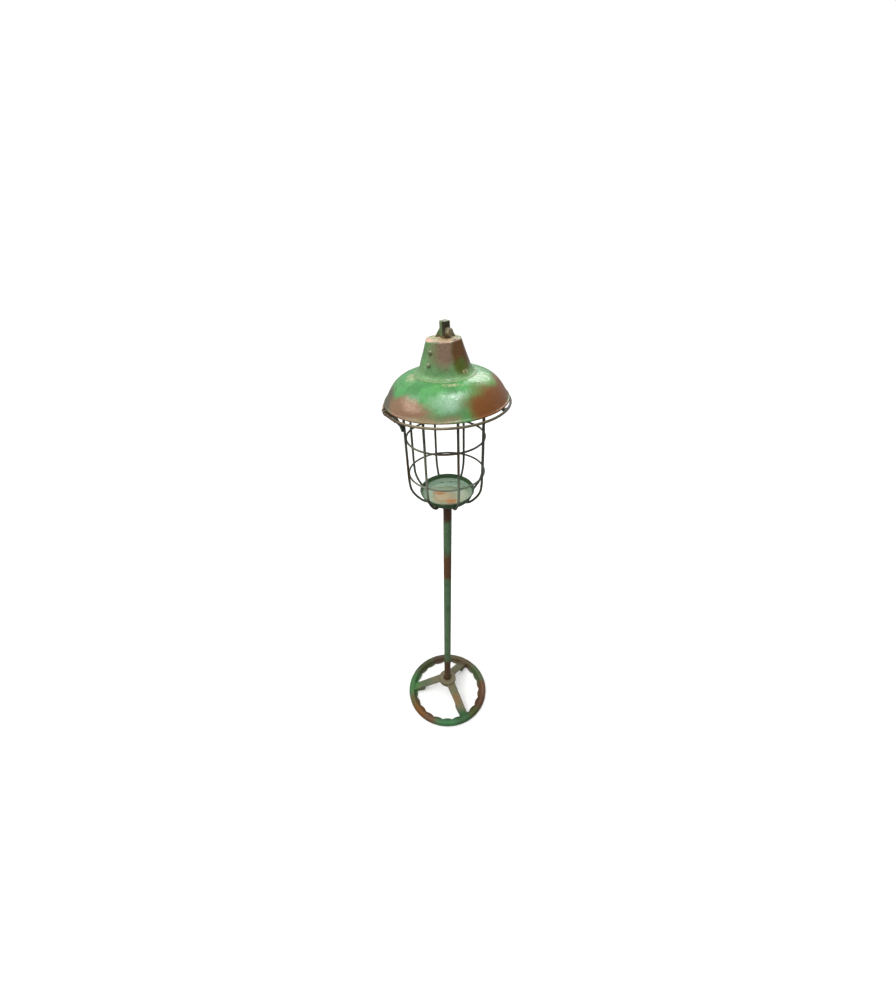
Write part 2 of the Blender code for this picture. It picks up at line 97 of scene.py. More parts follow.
CAGE_UP = (middle("cage_ring_upper") - middle("cage_ring_lower")).normalized()
LID_UP = mount_axis("lug_top")
CAGE = tilted(middle("cage_ring_lower"), CAGE_UP)       # heights count from the lower ring
LID = tilted(middle("skirt_ring"), LID_UP)              # heights count from the skirt ring
TOP_RING = tilted(middle("cage_top_ring"), LID_UP)
DISH_DROP = 0.0589                                      # from the lower ring down to the dish's floor
DISH = tilted(CAGE @ Vector((0, 0, -DISH_DROP)), mount_axis("candle_seat"))
HINGE_AXIS = Vector(frame["joints"][0]["axis"])
HINGE_AT = Vector(frame["joints"][0]["pos_m"])


def around(azimuth, radius, height):
    """A point at an azimuth measured from the front (-Y) towards +X."""
    angle = radians(azimuth)
    return Vector((radius * sin(angle), -radius * cos(angle), height))


# Colours and small tools

def linear(code):
    """An sRGB hex colour as linear values."""
    parts = [int(code[i:i + 2], 16) / 255 for i in (1, 3, 5)]
    return tuple(c / 12.92 if c <= 0.04045 else ((c + 0.055) / 1.055) ** 2.4 for c in parts)


def colour_prop(name, description, code):
    return FloatVectorProperty(name=name, description=description, subtype="COLOR", size=3,
                               min=0, max=1, default=linear(code))


def length_prop(name, description, default):
    return FloatProperty(name=name, description=description, default=default, min=0,
                         unit="LENGTH", subtype="DISTANCE", precision=4)


class LanternSizes(bpy.types.PropertyGroup):
    """Sizes of the pieces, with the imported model's own as defaults."""
    rim_bar: length_prop("Rim bar radius", "Half the thickness of the handwheel's rim", 0.0095)
    lobes: IntProperty(name="Finger lobes", description="Lobes on the rim's lip", default=22, min=3)
    lobe_depth: length_prop("Lobe depth", "How far each lobe stands in from the lip", 0.0042)
    upright_wire: length_prop("Upright wire radius", "Half the thickness of the cage uprights", 0.0025)
    ring_wire: length_prop("Ring wire radius", "Half the thickness of the bracing rings", 0.0020)
    top_wire: length_prop("Top ring wire radius", "Half the thickness of the hidden ring", 0.00225)
    skirt_wire: length_prop("Skirt wire radius", "Half the thickness of the ring under the rim", 0.00235)
    cage_radius: length_prop("Cage radius", "From the cage's axis to the middle of an upright", 0.081)
    ring_radius: length_prop("Ring radius", "From the cage's axis to a bracing ring's middle", 0.0781)
    sheet: length_prop("Shade sheet", "Thickness of the spun shade", 0.0016)
    weld_bead: length_prop("Weld bead radius", "Size of a weld bead where wires cross", 0.0027)
    remesh: length_prop("Casting voxel", "Grain of the fused casting mesh", 0.0011)


class LanternColours(bpy.types.PropertyGroup):
    """Paint and wear colours."""
    enamel: colour_prop("Enamel green", "Main colour of the shade", "#4F9652")
    enamel_deep: colour_prop("Deep green", "Darker drift in the enamel", "#3E7F42")
    # Mint haze also serves as the painted highlight on the front of the shade.
    mint_drift_and_highlight: colour_prop("Mint haze", "Paler drift in the enamel", "#8DB493")
    olive: colour_prop("Olive", "Where green fades into brown", "#5C7234")
    rust: colour_prop("Rust brown", "Dark sprayed rust colour", "#764200")
    clay: colour_prop("Clay", "Pale pink brown patches", "#8A6A50")
    primer: colour_prop("Primer", "Cream primer where the paint has worn", "#BFB78E")
    iron: colour_prop("Bare iron", "Dark metal in chips and pits", "#2B261D")
    post_green: colour_prop("Post green", "Main colour of the post", "#5E7C58")
    wire: colour_prop("Wire", "Grey green of the cage wires", "#5C6256")
    worn_wire: colour_prop("Worn wire", "Tan of the skirt ring", "#83775E")
    sage: colour_prop("Sage", "Pale floor of the dish", "#A9C6AC")
    steel: colour_prop("Old steel", "Screws and washers", "#4A4232")
    floor: colour_prop("Floor", "Plain studio floor", "#F4F4F2")


def add(tree, kind, inputs=None, out=0, **settings):
    """Add a node, set it up, link or fill its inputs, and give back one of its outputs."""
    made = tree.nodes.new(kind)
    for name, value in settings.items():
        setattr(made, name, value)
    for key, value in (inputs or {}).items():
        if isinstance(value, bpy.types.NodeSocket):
            tree.links.new(value, made.inputs[key])
        else:
            made.inputs[key].default_value = value
    return made.outputs[out]


# Materials

def per_mm(size):
    """The scale of a pattern whose features are size millimetres wide."""
    return 1000 / size


def grain(tree, place, size, low, high, most=1.0, detail=4, rough=0.55, least=0.0):
    """A broken-up mask: noise with features size millimetres wide, cut between two levels."""
    cloud = add(tree, "ShaderNodeTexNoise", {"Vector": place, "Scale": per_mm(size), "Detail": detail,
                                             "Roughness": rough})
    cut = {"Value": cloud, "From Min": low, "From Max": high, "To Min": least, "To Max": most}
    return add(tree, "ShaderNodeMapRange", cut, interpolation_type="SMOOTHSTEP")


def wandering(tree, place, *moves):
    """The place shifted by noise of each (size in mm, distance in m), so that paint edges wander."""
    for size, distance in moves:
        cloud = {"Vector": place, "Scale": per_mm(size), "Detail": 3}
        shift = add(tree, "ShaderNodeTexNoise", cloud, "Color")
        shift = add(tree, "ShaderNodeVectorMath", {0: shift, 1: (0.5, 0.5, 0.5)}, operation="SUBTRACT")
        moved = {0: shift, 1: (distance, distance, distance), 2: place}
        place = add(tree, "ShaderNodeVectorMath", moved, operation="MULTIPLY_ADD")
    return place


def blotch(tree, place, centre, reach, soft):
    """A soft-edged sprayed patch: 1 inside its reach from the centre, 0 outside."""
    reach = reach if hasattr(reach, "__len__") else (reach, reach, reach)
    offset = add(tree, "ShaderNodeVectorMath", {0: place, 1: tuple(centre)}, operation="SUBTRACT")
    offset = add(tree, "ShaderNodeVectorMath", {0: offset, 1: reach}, operation="DIVIDE")
    far = add(tree, "ShaderNodeVectorMath", {0: offset}, "Value", operation="LENGTH")
    return add(tree, "ShaderNodeMapRange", {"Value": far, "From Min": 1 + soft, "From Max": 1 - soft},
               interpolation_type="SMOOTHSTEP")


def opaque(colour):
    """A colour a socket takes: another socket as it is, or a hex code or linear values with full alpha."""
    if isinstance(colour, bpy.types.NodeSocket):
        return colour
    values = linear(colour) if isinstance(colour, str) else colour
    return (*values[:3], 1)


def layered(tree, ground, layers):
    """Colours laid over a ground one after another, each through its own mask."""
    for mask, over in layers:
        sides = {0: mask, 6: opaque(ground), 7: opaque(over)}
        ground = add(tree, "ShaderNodeMix", sides, 2, data_type="RGBA")
    return ground


def old_paint(name, ground, deep, pale, patches=(), wear=(), wander=0.03, gloss=0.32, coat=0.6,
              edge=None, chips=0.66, peel=2.6, bump=0.35, lump=14.0, coat_rough=0.16, dirt=0.6,
              frame_of=None, zone=None):
    """Lacquered paint over iron: a drifting ground, sprayed patches, worn primer, chips, orange peel; with
    edge given, rubbed edges and painted shade in the hollows.

    patches are (colour, centre, reach, softness) and wear is (centre, reach, softness, amount).
    wander is in metres; peel and lump are the sizes of the relief in millimetres.
    """
    colours = bpy.context.scene.lantern_colours
    made = bpy.data.materials.new(name)
    made.use_nodes = True
    tree = made.node_tree
    shader = tree.nodes["Principled BSDF"]
    place = add(tree, "ShaderNodeTexCoord", out="Object")
    if frame_of:
        turn = tuple(frame_of.to_euler())
        own_frame = {"Vector": place, "Location": tuple(frame_of.translation), "Rotation": turn}
        place = add(tree, "ShaderNodeMapping", own_frame, vector_type="TEXTURE")
    moved = wandering(tree, place, (38, wander), (7, wander * 0.22))
    aside = add(tree, "ShaderNodeMapping", {"Vector": place, "Location": (3, 1, 2)})

    layers = [(grain(tree, place, 34, 0.46, 0.66), deep),
              (grain(tree, aside, 20, 0.56, 0.80, 0.6), pale)]
    if zone:
        stored = add(tree, "ShaderNodeAttribute", out="Fac", attribute_name="paint_zone")
        uneven = grain(tree, place, 9, 0.3, 0.7, 0.5)
        ragged = add(tree, "ShaderNodeMath", {0: uneven, 1: stored}, operation="ADD")
        ragged = add(tree, "ShaderNodeMapRange", {"Value": ragged, "From Min": 0.62, "From Max": 0.86})
        layers.append((ragged, zone))
    layers += [(blotch(tree, moved, centre, reach, soft), tint) for tint, centre, reach, soft in patches]
    colour = layered(tree, ground, layers)

    mottle = grain(tree, place, 4.5, 0.47, 0.68, dirt, 6, 0.68)
    darker = add(tree, "ShaderNodeHueSaturation", {"Value": 0.66, "Saturation": 1.08, "Color": colour})
    bright = add(tree, "ShaderNodeHueSaturation", {"Value": 1.22, "Color": colour})
    flecks = grain(tree, aside, 3.5, 0.56, 0.70, 0.5, 5)
    colour = layered(tree, colour, [(mottle, darker), (flecks, bright)])

    speck = add(tree, "ShaderNodeTexNoise", {"Vector": aside, "Scale": per_mm(6.0), "Detail": 8,
                                             "Roughness": 0.75})
    for centre, reach, soft, amount in wear:
        area = blotch(tree, moved, centre, reach, soft)
        both = add(tree, "ShaderNodeMath", {0: speck, 1: area}, operation="ADD")
        broken = add(tree, "ShaderNodeMapRange", {"Value": both, "From Min": 1.56 - amount,
                                                  "From Max": 1.74 - amount, "To Max": 0.85})
        colour = layered(tree, colour, [(broken, colours.primer)])
    chipped = grain(tree, place, 6.5, chips, chips + 0.05, 0.85, 7, 0.72)
    colour = layered(tree, colour, [(chipped, colours.iron)])
    if edge:
        low, high, rubbed = edge
        sharp = add(tree, "ShaderNodeNewGeometry", out="Pointiness")
        ragged = add(tree, "ShaderNodeMath", {0: speck, 1: 0.08, 2: sharp}, operation="MULTIPLY_ADD")
        bare = add(tree, "ShaderNodeMapRange", {"Value": ragged, "From Min": low + 0.04,
                                                "From Max": high + 0.04, "To Max": 0.85})
        # Painted shade: where pointiness is low, in hollows and creases, the colour darkens towards bare
        # iron.
        hollow_shade = add(tree, "ShaderNodeMapRange", {"Value": sharp, "From Min": 0.49, "From Max": 0.43,
                                                 "To Max": 0.75})
        colour = layered(tree, colour, [(bare, rubbed), (hollow_shade, colours.iron)])
    tree.links.new(colour, shader.inputs["Base Color"])

    dull = grain(tree, place, 4.5, 0.35, 0.70, gloss + 0.22, 6, 0.68, gloss - 0.06)
    tree.links.new(dull, shader.inputs["Roughness"])
    shader.inputs["Specular IOR Level"].default_value = 0.3
    shader.inputs["Coat Weight"].default_value = coat
    shader.inputs["Coat Roughness"].default_value = coat_rough

    fine = add(tree, "ShaderNodeTexNoise", {"Vector": place, "Scale": per_mm(peel), "Detail": 3})
    height = add(tree, "ShaderNodeTexNoise", {"Vector": place, "Scale": per_mm(lump), "Detail": 3})
    height = add(tree, "ShaderNodeMath", {0: height, 1: 2.0, 2: fine}, operation="MULTIPLY_ADD")
    height = add(tree, "ShaderNodeMath", {0: chipped, 1: -0.4, 2: height}, operation="MULTIPLY_ADD")
    relief = add(tree, "ShaderNodeBump", {"Strength": bump, "Distance": 0.0011, "Height": height})
    tree.links.new(relief, shader.inputs["Normal"])
    tree.links.new(relief, shader.inputs["Coat Normal"])
    return made


def shade_enamel():
    """Glossy enamel on spun steel: vivid green with sprayed clay and rust patches low on its sides, a mint
    painted highlight in front and a pale pink painted reflection on the left clay.
    """
    c = bpy.context.scene.lantern_colours
    tan = "#8F7C5A"
    pink_highlight = "#A98870"
    dark_clay = "#565038"
    patches = (
        # painted highlight: mint haze where the front highlight falls on the dome
        (c.mint_drift_and_highlight, around(9, 0.096, 0.034), (0.036, 0.020, 0.016), 0.7),
        ("#5F9040", around(62, 0.088, 0.042), (0.034, 0.034, 0.016), 0.6),
        (c.olive, around(44, 0.103, 0.028), (0.046, 0.046, 0.026), 0.35),
        (c.rust, around(52, 0.111, 0.019), (0.054, 0.054, 0.028), 0.25),
        (c.rust, around(82, 0.104, 0.032), (0.026, 0.036, 0.018), 0.35),
        (c.rust, around(100, 0.110, 0.018), (0.040, 0.046, 0.022), 0.40),
        (dark_clay, around(-80, 0.112, 0.018), (0.036, 0.044, 0.022), 0.45),
        (c.clay, around(-42, 0.107, 0.017), (0.054, 0.046, 0.020), 0.35),
        # painted reflection: a pale pink spot lightening the clay where the left light reflects
        (pink_highlight, around(-37, 0.101, 0.028), (0.020, 0.017, 0.008), 0.7),
        ("#6E7A54", around(-4, 0.114, 0.011), (0.036, 0.020, 0.009), 0.5),
        (tan, around(-16, 0.112, 0.008), (0.050, 0.020, 0.006), 0.5),
        (c.clay, around(196, 0.108, 0.016), (0.050, 0.040, 0.018), 0.5),
        (c.olive, around(232, 0.105, 0.026), (0.034, 0.030, 0.020), 0.5),
        (c.rust, around(150, 0.113, 0.014), (0.030, 0.030, 0.014), 0.5),
    )
    wear = ((around(-75, 0.060, 0.054), (0.020, 0.034, 0.010), 0.6, 0.15),
            (around(4, 0.067, 0.054), (0.036, 0.009, 0.008), 0.6, 0.15),
            (around(60, 0.058, 0.054), (0.020, 0.020, 0.010), 0.4, 0.05),
            (around(200, 0.070, 0.053), (0.040, 0.020, 0.010), 0.4, 0.05))
    return old_paint("enamel_on_spun_steel", c.enamel, c.enamel_deep, c.mint_drift_and_highlight, patches, wear,
                     gloss=0.30, coat=0.6, edge=(0.53, 0.60, tan), chips=0.70, coat_rough=0.13, bump=0.5,
                     peel=3.0, frame_of=LID)


def neck_enamel():
    """The same enamel on the cast neck: green on the left, mauve in front, dark brown on the right."""
    mauve = "#7C6450"
    grey_green = "#6F7A52"
    umber = "#5E3A0A"
    moss = "#4F5C08"
    cream = "#DDBFA2"
    rose = "#D6AC96"
    patches = (
        (grey_green, around(-24, 0.036, 0.100), (0.015, 0.020, 0.022), 0.5),
        (mauve, around(4, 0.037, 0.102), (0.017, 0.020, 0.027), 0.5),
        (umber, around(50, 0.038, 0.096), (0.017, 0.024, 0.036), 0.3),
        (umber, around(100, 0.040, 0.090), (0.016, 0.030, 0.022), 0.5),
        (moss, around(40, 0.047, 0.074), (0.013, 0.020, 0.014), 0.5),
        (grey_green, around(185, 0.038, 0.085), (0.026, 0.020, 0.024), 0.5),
        (cream, (0, 0, 0.1190), (0.090, 0.090, 0.0064), 0.12),
        (rose, (-0.022, -0.006, 0.1140), (0.014, 0.022, 0.0012), 0.5),
        ("#A28A62", (0.003, -0.008, 0.1140), (0.015, 0.012, 0.0012), 0.6),
    )
    wear = ((around(48, 0.046, 0.064), (0.010, 0.012, 0.008), 0.6, 0.12),
            (around(-30, 0.050, 0.060), (0.024, 0.018, 0.006), 0.6, 0.03),
            (around(10, 0.050, 0.060), (0.020, 0.014, 0.005), 0.6, 0.03))
    return old_paint("enamel_on_cast_neck", "#6C9860", "#5A8452", "#86A67A",
                     patches, wear, wander=0.009, gloss=0.32, coat=0.5,
                     edge=(0.53, 0.60, "#A99A78"), chips=0.68, lump=9, bump=0.55, frame_of=LID)


def lug_enamel():
    """Enamel on the lug: dull green on the left face, almost black olive on the right."""
    right_face_black = "#332F17"
    patches = (
        # almost black olive over the whole right face of the lug
        (right_face_black, around(45, 0.0137, 0.130), (0.0137, 0.0137, 0.060), 0.06),
        ("#7A6440", (0.002, 0.003, 0.1135), (0.022, 0.022, 0.0028), 0.5),
        ("#8C9078", (0.004, 0.004, 0.1420), (0.012, 0.012, 0.0022), 0.4),
    )
    return old_paint("enamel_on_lug", "#6E845A", "#5C704A", "#80926A", patches,
                     wander=0.002, gloss=0.38, coat=0.4, chips=0.64, lump=6, bump=0.5, frame_of=LID)


def bolt_paint():
    """Domed screws painted over with the neck, rubbed dull."""
    return old_paint("paint_on_domed_screws", "#858C68", "#6B7252", "#A8AA8A",
                     wander=0.003, gloss=0.34, coat=0.6, chips=0.60, lump=3, peel=1.2, bump=0.4)


def wheel_paint():
    """Cast iron under brushed green paint, worn to olive tan on the spokes and to brown along the rim."""
    spoke_tan = "#6B6A50"
    hub_tan = "#71684F"
    rim = {
        -98: ("#42703C", 0.036), -63: ("#5A5228", 0.026), -45: ("#6E4614", 0.032),
        -28: ("#62462C", 0.020), 2: ("#386A3E", 0.038), 28: ("#315630", 0.026),
        48: ("#3C4414", 0.026), 68: ("#52351F", 0.030), 90: ("#60442C", 0.028),
        118: ("#465834", 0.028), 152: ("#554830", 0.040), 190: ("#4E4030", 0.036),
        222: ("#424A28", 0.030),
    }
    patches = [(spoke_tan, (0, 0, 0.040), (0.1005, 0.1005, 0.2), 0.03),
               (hub_tan, (0, 0, 0.066), 0.034, 0.3),
               ("#7E6543", around(24, 0.066, 0.041), 0.016, 0.6),
               ("#59664A", around(-91, 0.070, 0.036), 0.022, 0.6)]
    for azimuth, (code, reach) in rim.items():
        patches.append((code, around(azimuth, 0.116, 0.010), (reach, reach, 0.03), 0.45))
    return old_paint("brushed_paint_on_cast_iron", "#556348", "#47523A",
                     "#74806A", patches, wander=0.022, gloss=0.42, coat=0.25, chips=0.62,
                     edge=(0.54, 0.62, "#8A8166"), peel=1.6, bump=0.6, lump=8)


def post_paint():
    """Painted steel tube: green with three long brown patches."""
    c = bpy.context.scene.lantern_colours
    brown = "#543C28"
    rusty = "#664628"
    patches = (
        (brown, (0, 0, 0.742), (0.2, 0.2, 0.038), 0.25),
        (rusty, (0, 0, 0.562), (0.2, 0.2, 0.043), 0.25),
        (brown, (0, 0, 0.105), (0.2, 0.2, 0.065), 0.25),
    )
    return old_paint("paint_on_steel_tube", c.post_green, "#4E6A49", "#748E6A", patches,
                     wander=0.045, gloss=0.36, coat=0.5, chips=0.66, lump=11, bump=0.45)


def wire_paint():
    """Drawn steel wire under thin grey green paint, rusting brown in places, with painted highlights on
    the front of the cage.
    """
    c = bpy.context.scene.lantern_colours
    patches = tuple(
        (code, centre, 0.032, 0.5) for code, centre in (
            ("#4D3B2A", (-0.082, -0.02, 0.86)), ("#5A4634", (0.0, -0.080, 0.90)),
            # pale grey greens on the front of the cage: painted highlights
            ("#858A76", (-0.040, -0.070, 0.836)), ("#80806A", (-0.055, -0.058, 0.897)),
            ("#7C8A74", (0.020, -0.080, 0.832)),
            ("#4B4A34", (0.070, -0.03, 0.80)), ("#4A3A2B", (-0.040, -0.06, 0.78)),
            ("#524232", (0.030, 0.075, 0.95)), ("#4F3E2C", (0.075, 0.03, 0.93))))
    return old_paint("paint_on_drawn_wire", c.wire, "#454C43", "#7E8678", patches,
                     wander=0.02, gloss=0.40, coat=0.3, chips=0.64, lump=5, peel=1.4, bump=0.4)


def ring_paint():
    """The skirt ring, rubbed to tan and grey with dark traces."""
    c = bpy.context.scene.lantern_colours
    patches = (("#5B5441", (0.07, -0.09, 0.985), 0.05, 0.5),
               ("#5A4A36", (-0.10, -0.05, 0.98), 0.035, 0.5),
               ("#4A4336", (0.11, -0.01, 0.99), 0.07, 0.5),
               ("#54503C", (0.0, 0.11, 0.985), 0.07, 0.5))
    return old_paint("rubbed_paint_on_wire_ring", c.worn_wire, "#655B46", "#A09680",
                     patches, wander=0.02, gloss=0.42, coat=0.25, chips=0.66, lump=6, peel=1.4)


def dish_paint():
    """Sage paint on the pan: dark green walls, a pale floor and a rust and wax stain."""
    c = bpy.context.scene.lantern_colours
    stains = (
        ("#B9C6A8", (0.032, -0.010), (0.020, 0.030, 0.006), 0.6),
        ("#8D9A78", (0.000, 0.022), (0.036, 0.004, 0.006), 0.7),
        ("#A6A482", (-0.006, -0.012), (0.028, 0.026, 0.006), 0.30),
        ("#C4B088", (-0.010, -0.012), (0.020, 0.016, 0.006), 0.60),
        ("#BC7F3A", (-0.018, 0.004), (0.011, 0.006, 0.006), 0.60),
        ("#C98A50", (0.010, -0.027), (0.014, 0.006, 0.006), 0.60),
        ("#8F7050", (0.004, -0.036), (0.024, 0.003, 0.006), 0.60),
    )
    patches = [(code, (*at, 0), reach, soft) for code, at, reach, soft in stains]
    return old_paint("sage_paint_on_pan", "#46643F", "#385235", "#6A8660",
                     patches, wander=0.018, gloss=0.40, coat=0.4, chips=0.66, lump=10, bump=0.4,
                     frame_of=DISH, zone=c.sage, dirt=0.5)


def old_steel():
    """Zinc-plated screws gone dull and brown, a little shiny on the worn high spots."""
    c = bpy.context.scene.lantern_colours
    made = old_paint("dulled_plated_steel", c.steel, "#2F2A1E", "#6F6752", (),
                     wander=0.004, gloss=0.42, coat=0.1, chips=0.62, peel=1.0, lump=3)
    shader = made.node_tree.nodes["Principled BSDF"]
    shader.inputs["Metallic"].default_value = 0.45
    shader.inputs["Specular IOR Level"].default_value = 0.5
    return made


def floor_paper():
    """Matt studio paper: a soft unevenness keeps it from being one flat tone."""
    made = bpy.data.materials.new("studio_paper")
    made.use_nodes = True
    tree = made.node_tree
    shader = tree.nodes["Principled BSDF"]
    place = add(tree, "ShaderNodeTexCoord", out="Object")
    tone = bpy.context.scene.lantern_colours.floor
    cooler = tuple(value * 0.98 for value in tone)
    colour = layered(tree, tone, [(grain(tree, place, 900, 0.3, 0.7, 1.0, 2), cooler)])
    tree.links.new(colour, shader.inputs["Base Color"])
    shader.inputs["Roughness"].default_value = 0.9
    shader.inputs["Specular IOR Level"].default_value = 0.1
    shader.inputs["Emission Color"].default_value = (1, 1, 1, 1)
    shader.inputs["Emission Strength"].default_value = 0.14
    return made


def backdrop_paper():
    """Evenly lit white paper far behind, only there to be seen."""
    made = bpy.data.materials.new("backdrop_paper")
    made.use_nodes = True
    shader = made.node_tree.nodes["Principled BSDF"]
    shader.inputs["Base Color"].default_value = (0, 0, 0, 1)
    shader.inputs["Specular IOR Level"].default_value = 0
    shader.inputs["Emission Color"].default_value = (1, 1, 1, 1)
    shader.inputs["Emission Strength"].default_value = 1.03
    return made


MAKERS = {
    "shade": shade_enamel, "neck": neck_enamel, "lug": lug_enamel, "bolt": bolt_paint,
    "wheel": wheel_paint, "post": post_paint, "wire": wire_paint, "ring": ring_paint, "dish": dish_paint,
    "steel": old_steel, "floor": floor_paper, "backdrop": backdrop_paper,
}
MADE = {}


def finish_of(name):
    """Each material is made once, when it is first asked for."""
    if name not in MADE:
        MADE[name] = MAKERS[name]()
    return MADE[name]


# Mesh tools

def shown(mesh, degrees=40):
    mesh.shade_smooth()
    mesh.set_sharp_from_angle(angle=radians(degrees))
    return mesh


def settle(piece, body, slot, *nodes):
    """Hand a finished piece over to its body and hide the nodes it stands for; slot is not used."""
    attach(piece, body)
    if nodes:
        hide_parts(*nodes)
    return piece


def from_bmesh(name, work, finish=None):
    mesh = bpy.data.meshes.new(name)
    work.to_mesh(mesh)
    work.free()
    made = bpy.data.objects.new(name, mesh)
    bpy.context.scene.collection.objects.link(made)
    if finish:
        mesh.materials.append(finish)
    return made


def applied(made, name=None):
    """The object as it shows, as a plain mesh object with the same name and no modifiers."""
    name = name or made.name
    bpy.context.view_layer.update()
    seen = made.evaluated_get(bpy.context.evaluated_depsgraph_get())
    mesh = bpy.data.meshes.new_from_object(seen)
    finish = [m for m in mesh.materials if m]
    bpy.data.objects.remove(made, do_unlink=True)
    fresh = bpy.data.objects.new(name, mesh)
    mesh.materials.clear()
    for item in finish[:1]:
        mesh.materials.append(item)
    bpy.context.scene.collection.objects.link(fresh)
    return fresh


def turned(name, outline, steps, place, finish, zones=None):
    """A closed outline of (radius, height) points turned about +Z; zones holds each point's paint zone."""
    work = bmesh.new()
    layer = work.verts.layers.float.new("paint_zone") if zones else None
    rings = []
    for step in range(steps):
        angle = tau * step / steps
        rings.append([work.verts.new((r * cos(angle), r * sin(angle), z)) for r, z in outline])
    count = len(outline)
    if zones:
        for ring in rings:
            for vertex, zone in zip(ring, zones):
                vertex[layer] = zone
    for step in range(steps):
        here, there = rings[step], rings[(step + 1) % steps]
        for i in range(count):
            j = (i + 1) % count
            if outline[i][0] > 0 or outline[j][0] > 0:
                work.faces.new((here[i], here[j], there[j], there[i]))
    bmesh.ops.remove_doubles(work, verts=work.verts, dist=1e-7)
    bmesh.ops.dissolve_degenerate(work, edges=work.edges, dist=1e-7)
    bmesh.ops.recalc_face_normals(work, faces=work.faces)
    work.transform(place)
    return from_bmesh(name, work, finish)


def rounded(points, per_span):
    """A smooth curve through (radius, height) points."""
    ends = [points[0], *points, points[-1]]
    smoothed = []
    for i in range(1, len(ends) - 2):
        a, b, c, d = (Vector(p) for p in ends[i - 1:i + 3])
        for step in range(per_span):
            t = step / per_span
            smoothed.append(0.5 * (2 * b + (c - a) * t + (2 * a - 5 * b + 4 * c - d) * t * t
                                   + (3 * b - a - 3 * c + d) * t ** 3))
    smoothed.append(Vector(points[-1]))
    return [tuple(p) for p in smoothed]


def arc(centre, radius, start, end, count):
    """Points on an arc, angles in degrees from +X towards +Z."""
    turns = [radians(start + (end - start) * i / (count - 1)) for i in range(count)]
    return [(centre[0] + radius * cos(a), centre[1] + radius * sin(a)) for a in turns]


def inner_side(outer, thickness):
    """An open outline moved inwards by the sheet's thickness, in reverse order."""
    inner = []
    for i, point in enumerate(outer):
        before, after = outer[max(i - 1, 0)], outer[min(i + 1, len(outer) - 1)]
        along = (Vector(after) - Vector(before)).normalized()
        inner.append((point[0] + along.y * thickness, point[1] - along.x * thickness))
    return inner[::-1]


def roughened(made, coarse, coarse_depth, fine, fine_depth, seed):
    """Dents and casting skin: each vertex moves along its normal by two sizes of noise."""
    shift = Vector((seed * 3.1, seed * 1.7, seed * 2.3))
    normals = [vertex.normal.copy() for vertex in made.data.vertices]
    for vertex, normal in zip(made.data.vertices, normals):
        wide = noise.noise(vertex.co / coarse + shift) * coarse_depth
        small = noise.noise(vertex.co / fine + shift) * fine_depth
        vertex.co += normal * (wide + small)
    return made


def merged_copy(node, name):
    """A CAD node's triangles as a closed mesh with its flat faces joined."""
    work = bmesh.new()
    work.from_mesh(frame["nodes"][node].data)
    bmesh.ops.remove_doubles(work, verts=work.verts, dist=2e-6)
    bmesh.ops.dissolve_limit(work, angle_limit=radians(1.0), verts=work.verts, edges=work.edges)
    return from_bmesh(name, work)


def softened(node, name, finish, body, slot, width, segments=2, degrees=30):
    """A CAD piece with its edges rounded, standing for the plain one."""
    made = merged_copy(node, name)
    made.data.materials.append(finish)
    bevel = made.modifiers.new("rounding", "BEVEL")
    bevel.width = width
    bevel.segments = segments
    bevel.limit_method = "ANGLE"
    bevel.angle_limit = radians(degrees)
    bevel.harden_normals = False
    made = applied(made)
    shown(made.data, 35)
    return settle(made, body, slot, node)


# Geometry node trees

def new_tree(name, inputs):
    """A tree with a geometry in and out and named inputs of (name, kind, default)."""
    tree = bpy.data.node_groups.new(name, "GeometryNodeTree")
    tree.interface.new_socket("Geometry", in_out="INPUT", socket_type="NodeSocketGeometry")
    for label, kind, default in inputs:
        socket = tree.interface.new_socket(label, in_out="INPUT", socket_type=kind)
        if default is not None:
            socket.default_value = default
    tree.interface.new_socket("Geometry", in_out="OUTPUT", socket_type="NodeSocketGeometry")
    return tree, tree.nodes.new("NodeGroupInput").outputs


def close_tree(tree, geometry, finish):
    """Every tree ends the same way: realised, smooth, in its material."""
    geometry = add(tree, "GeometryNodeRealizeInstances", {"Geometry": geometry})
    geometry = add(tree, "GeometryNodeSetShadeSmooth", {"Geometry": geometry, "Shade Smooth": True})
    geometry = add(tree, "GeometryNodeSetMaterial", {"Geometry": geometry, "Material": finish})
    end = tree.nodes.new("NodeGroupOutput")
    tree.links.new(geometry, end.inputs["Geometry"])
    return tree


def run_tree(base, tree, values, name):
    """Run a tree on a base object and return the result as a plain mesh object."""
    modifier = base.modifiers.new(tree.name, "NODES")
    modifier.node_group = tree
    keys = {item.name: item.identifier for item in tree.interface.items_tree
            if item.item_type == "SOCKET" and item.in_out == "INPUT"}
    for label, value in values.items():
        modifier[keys[label]] = value
    return applied(base, name)


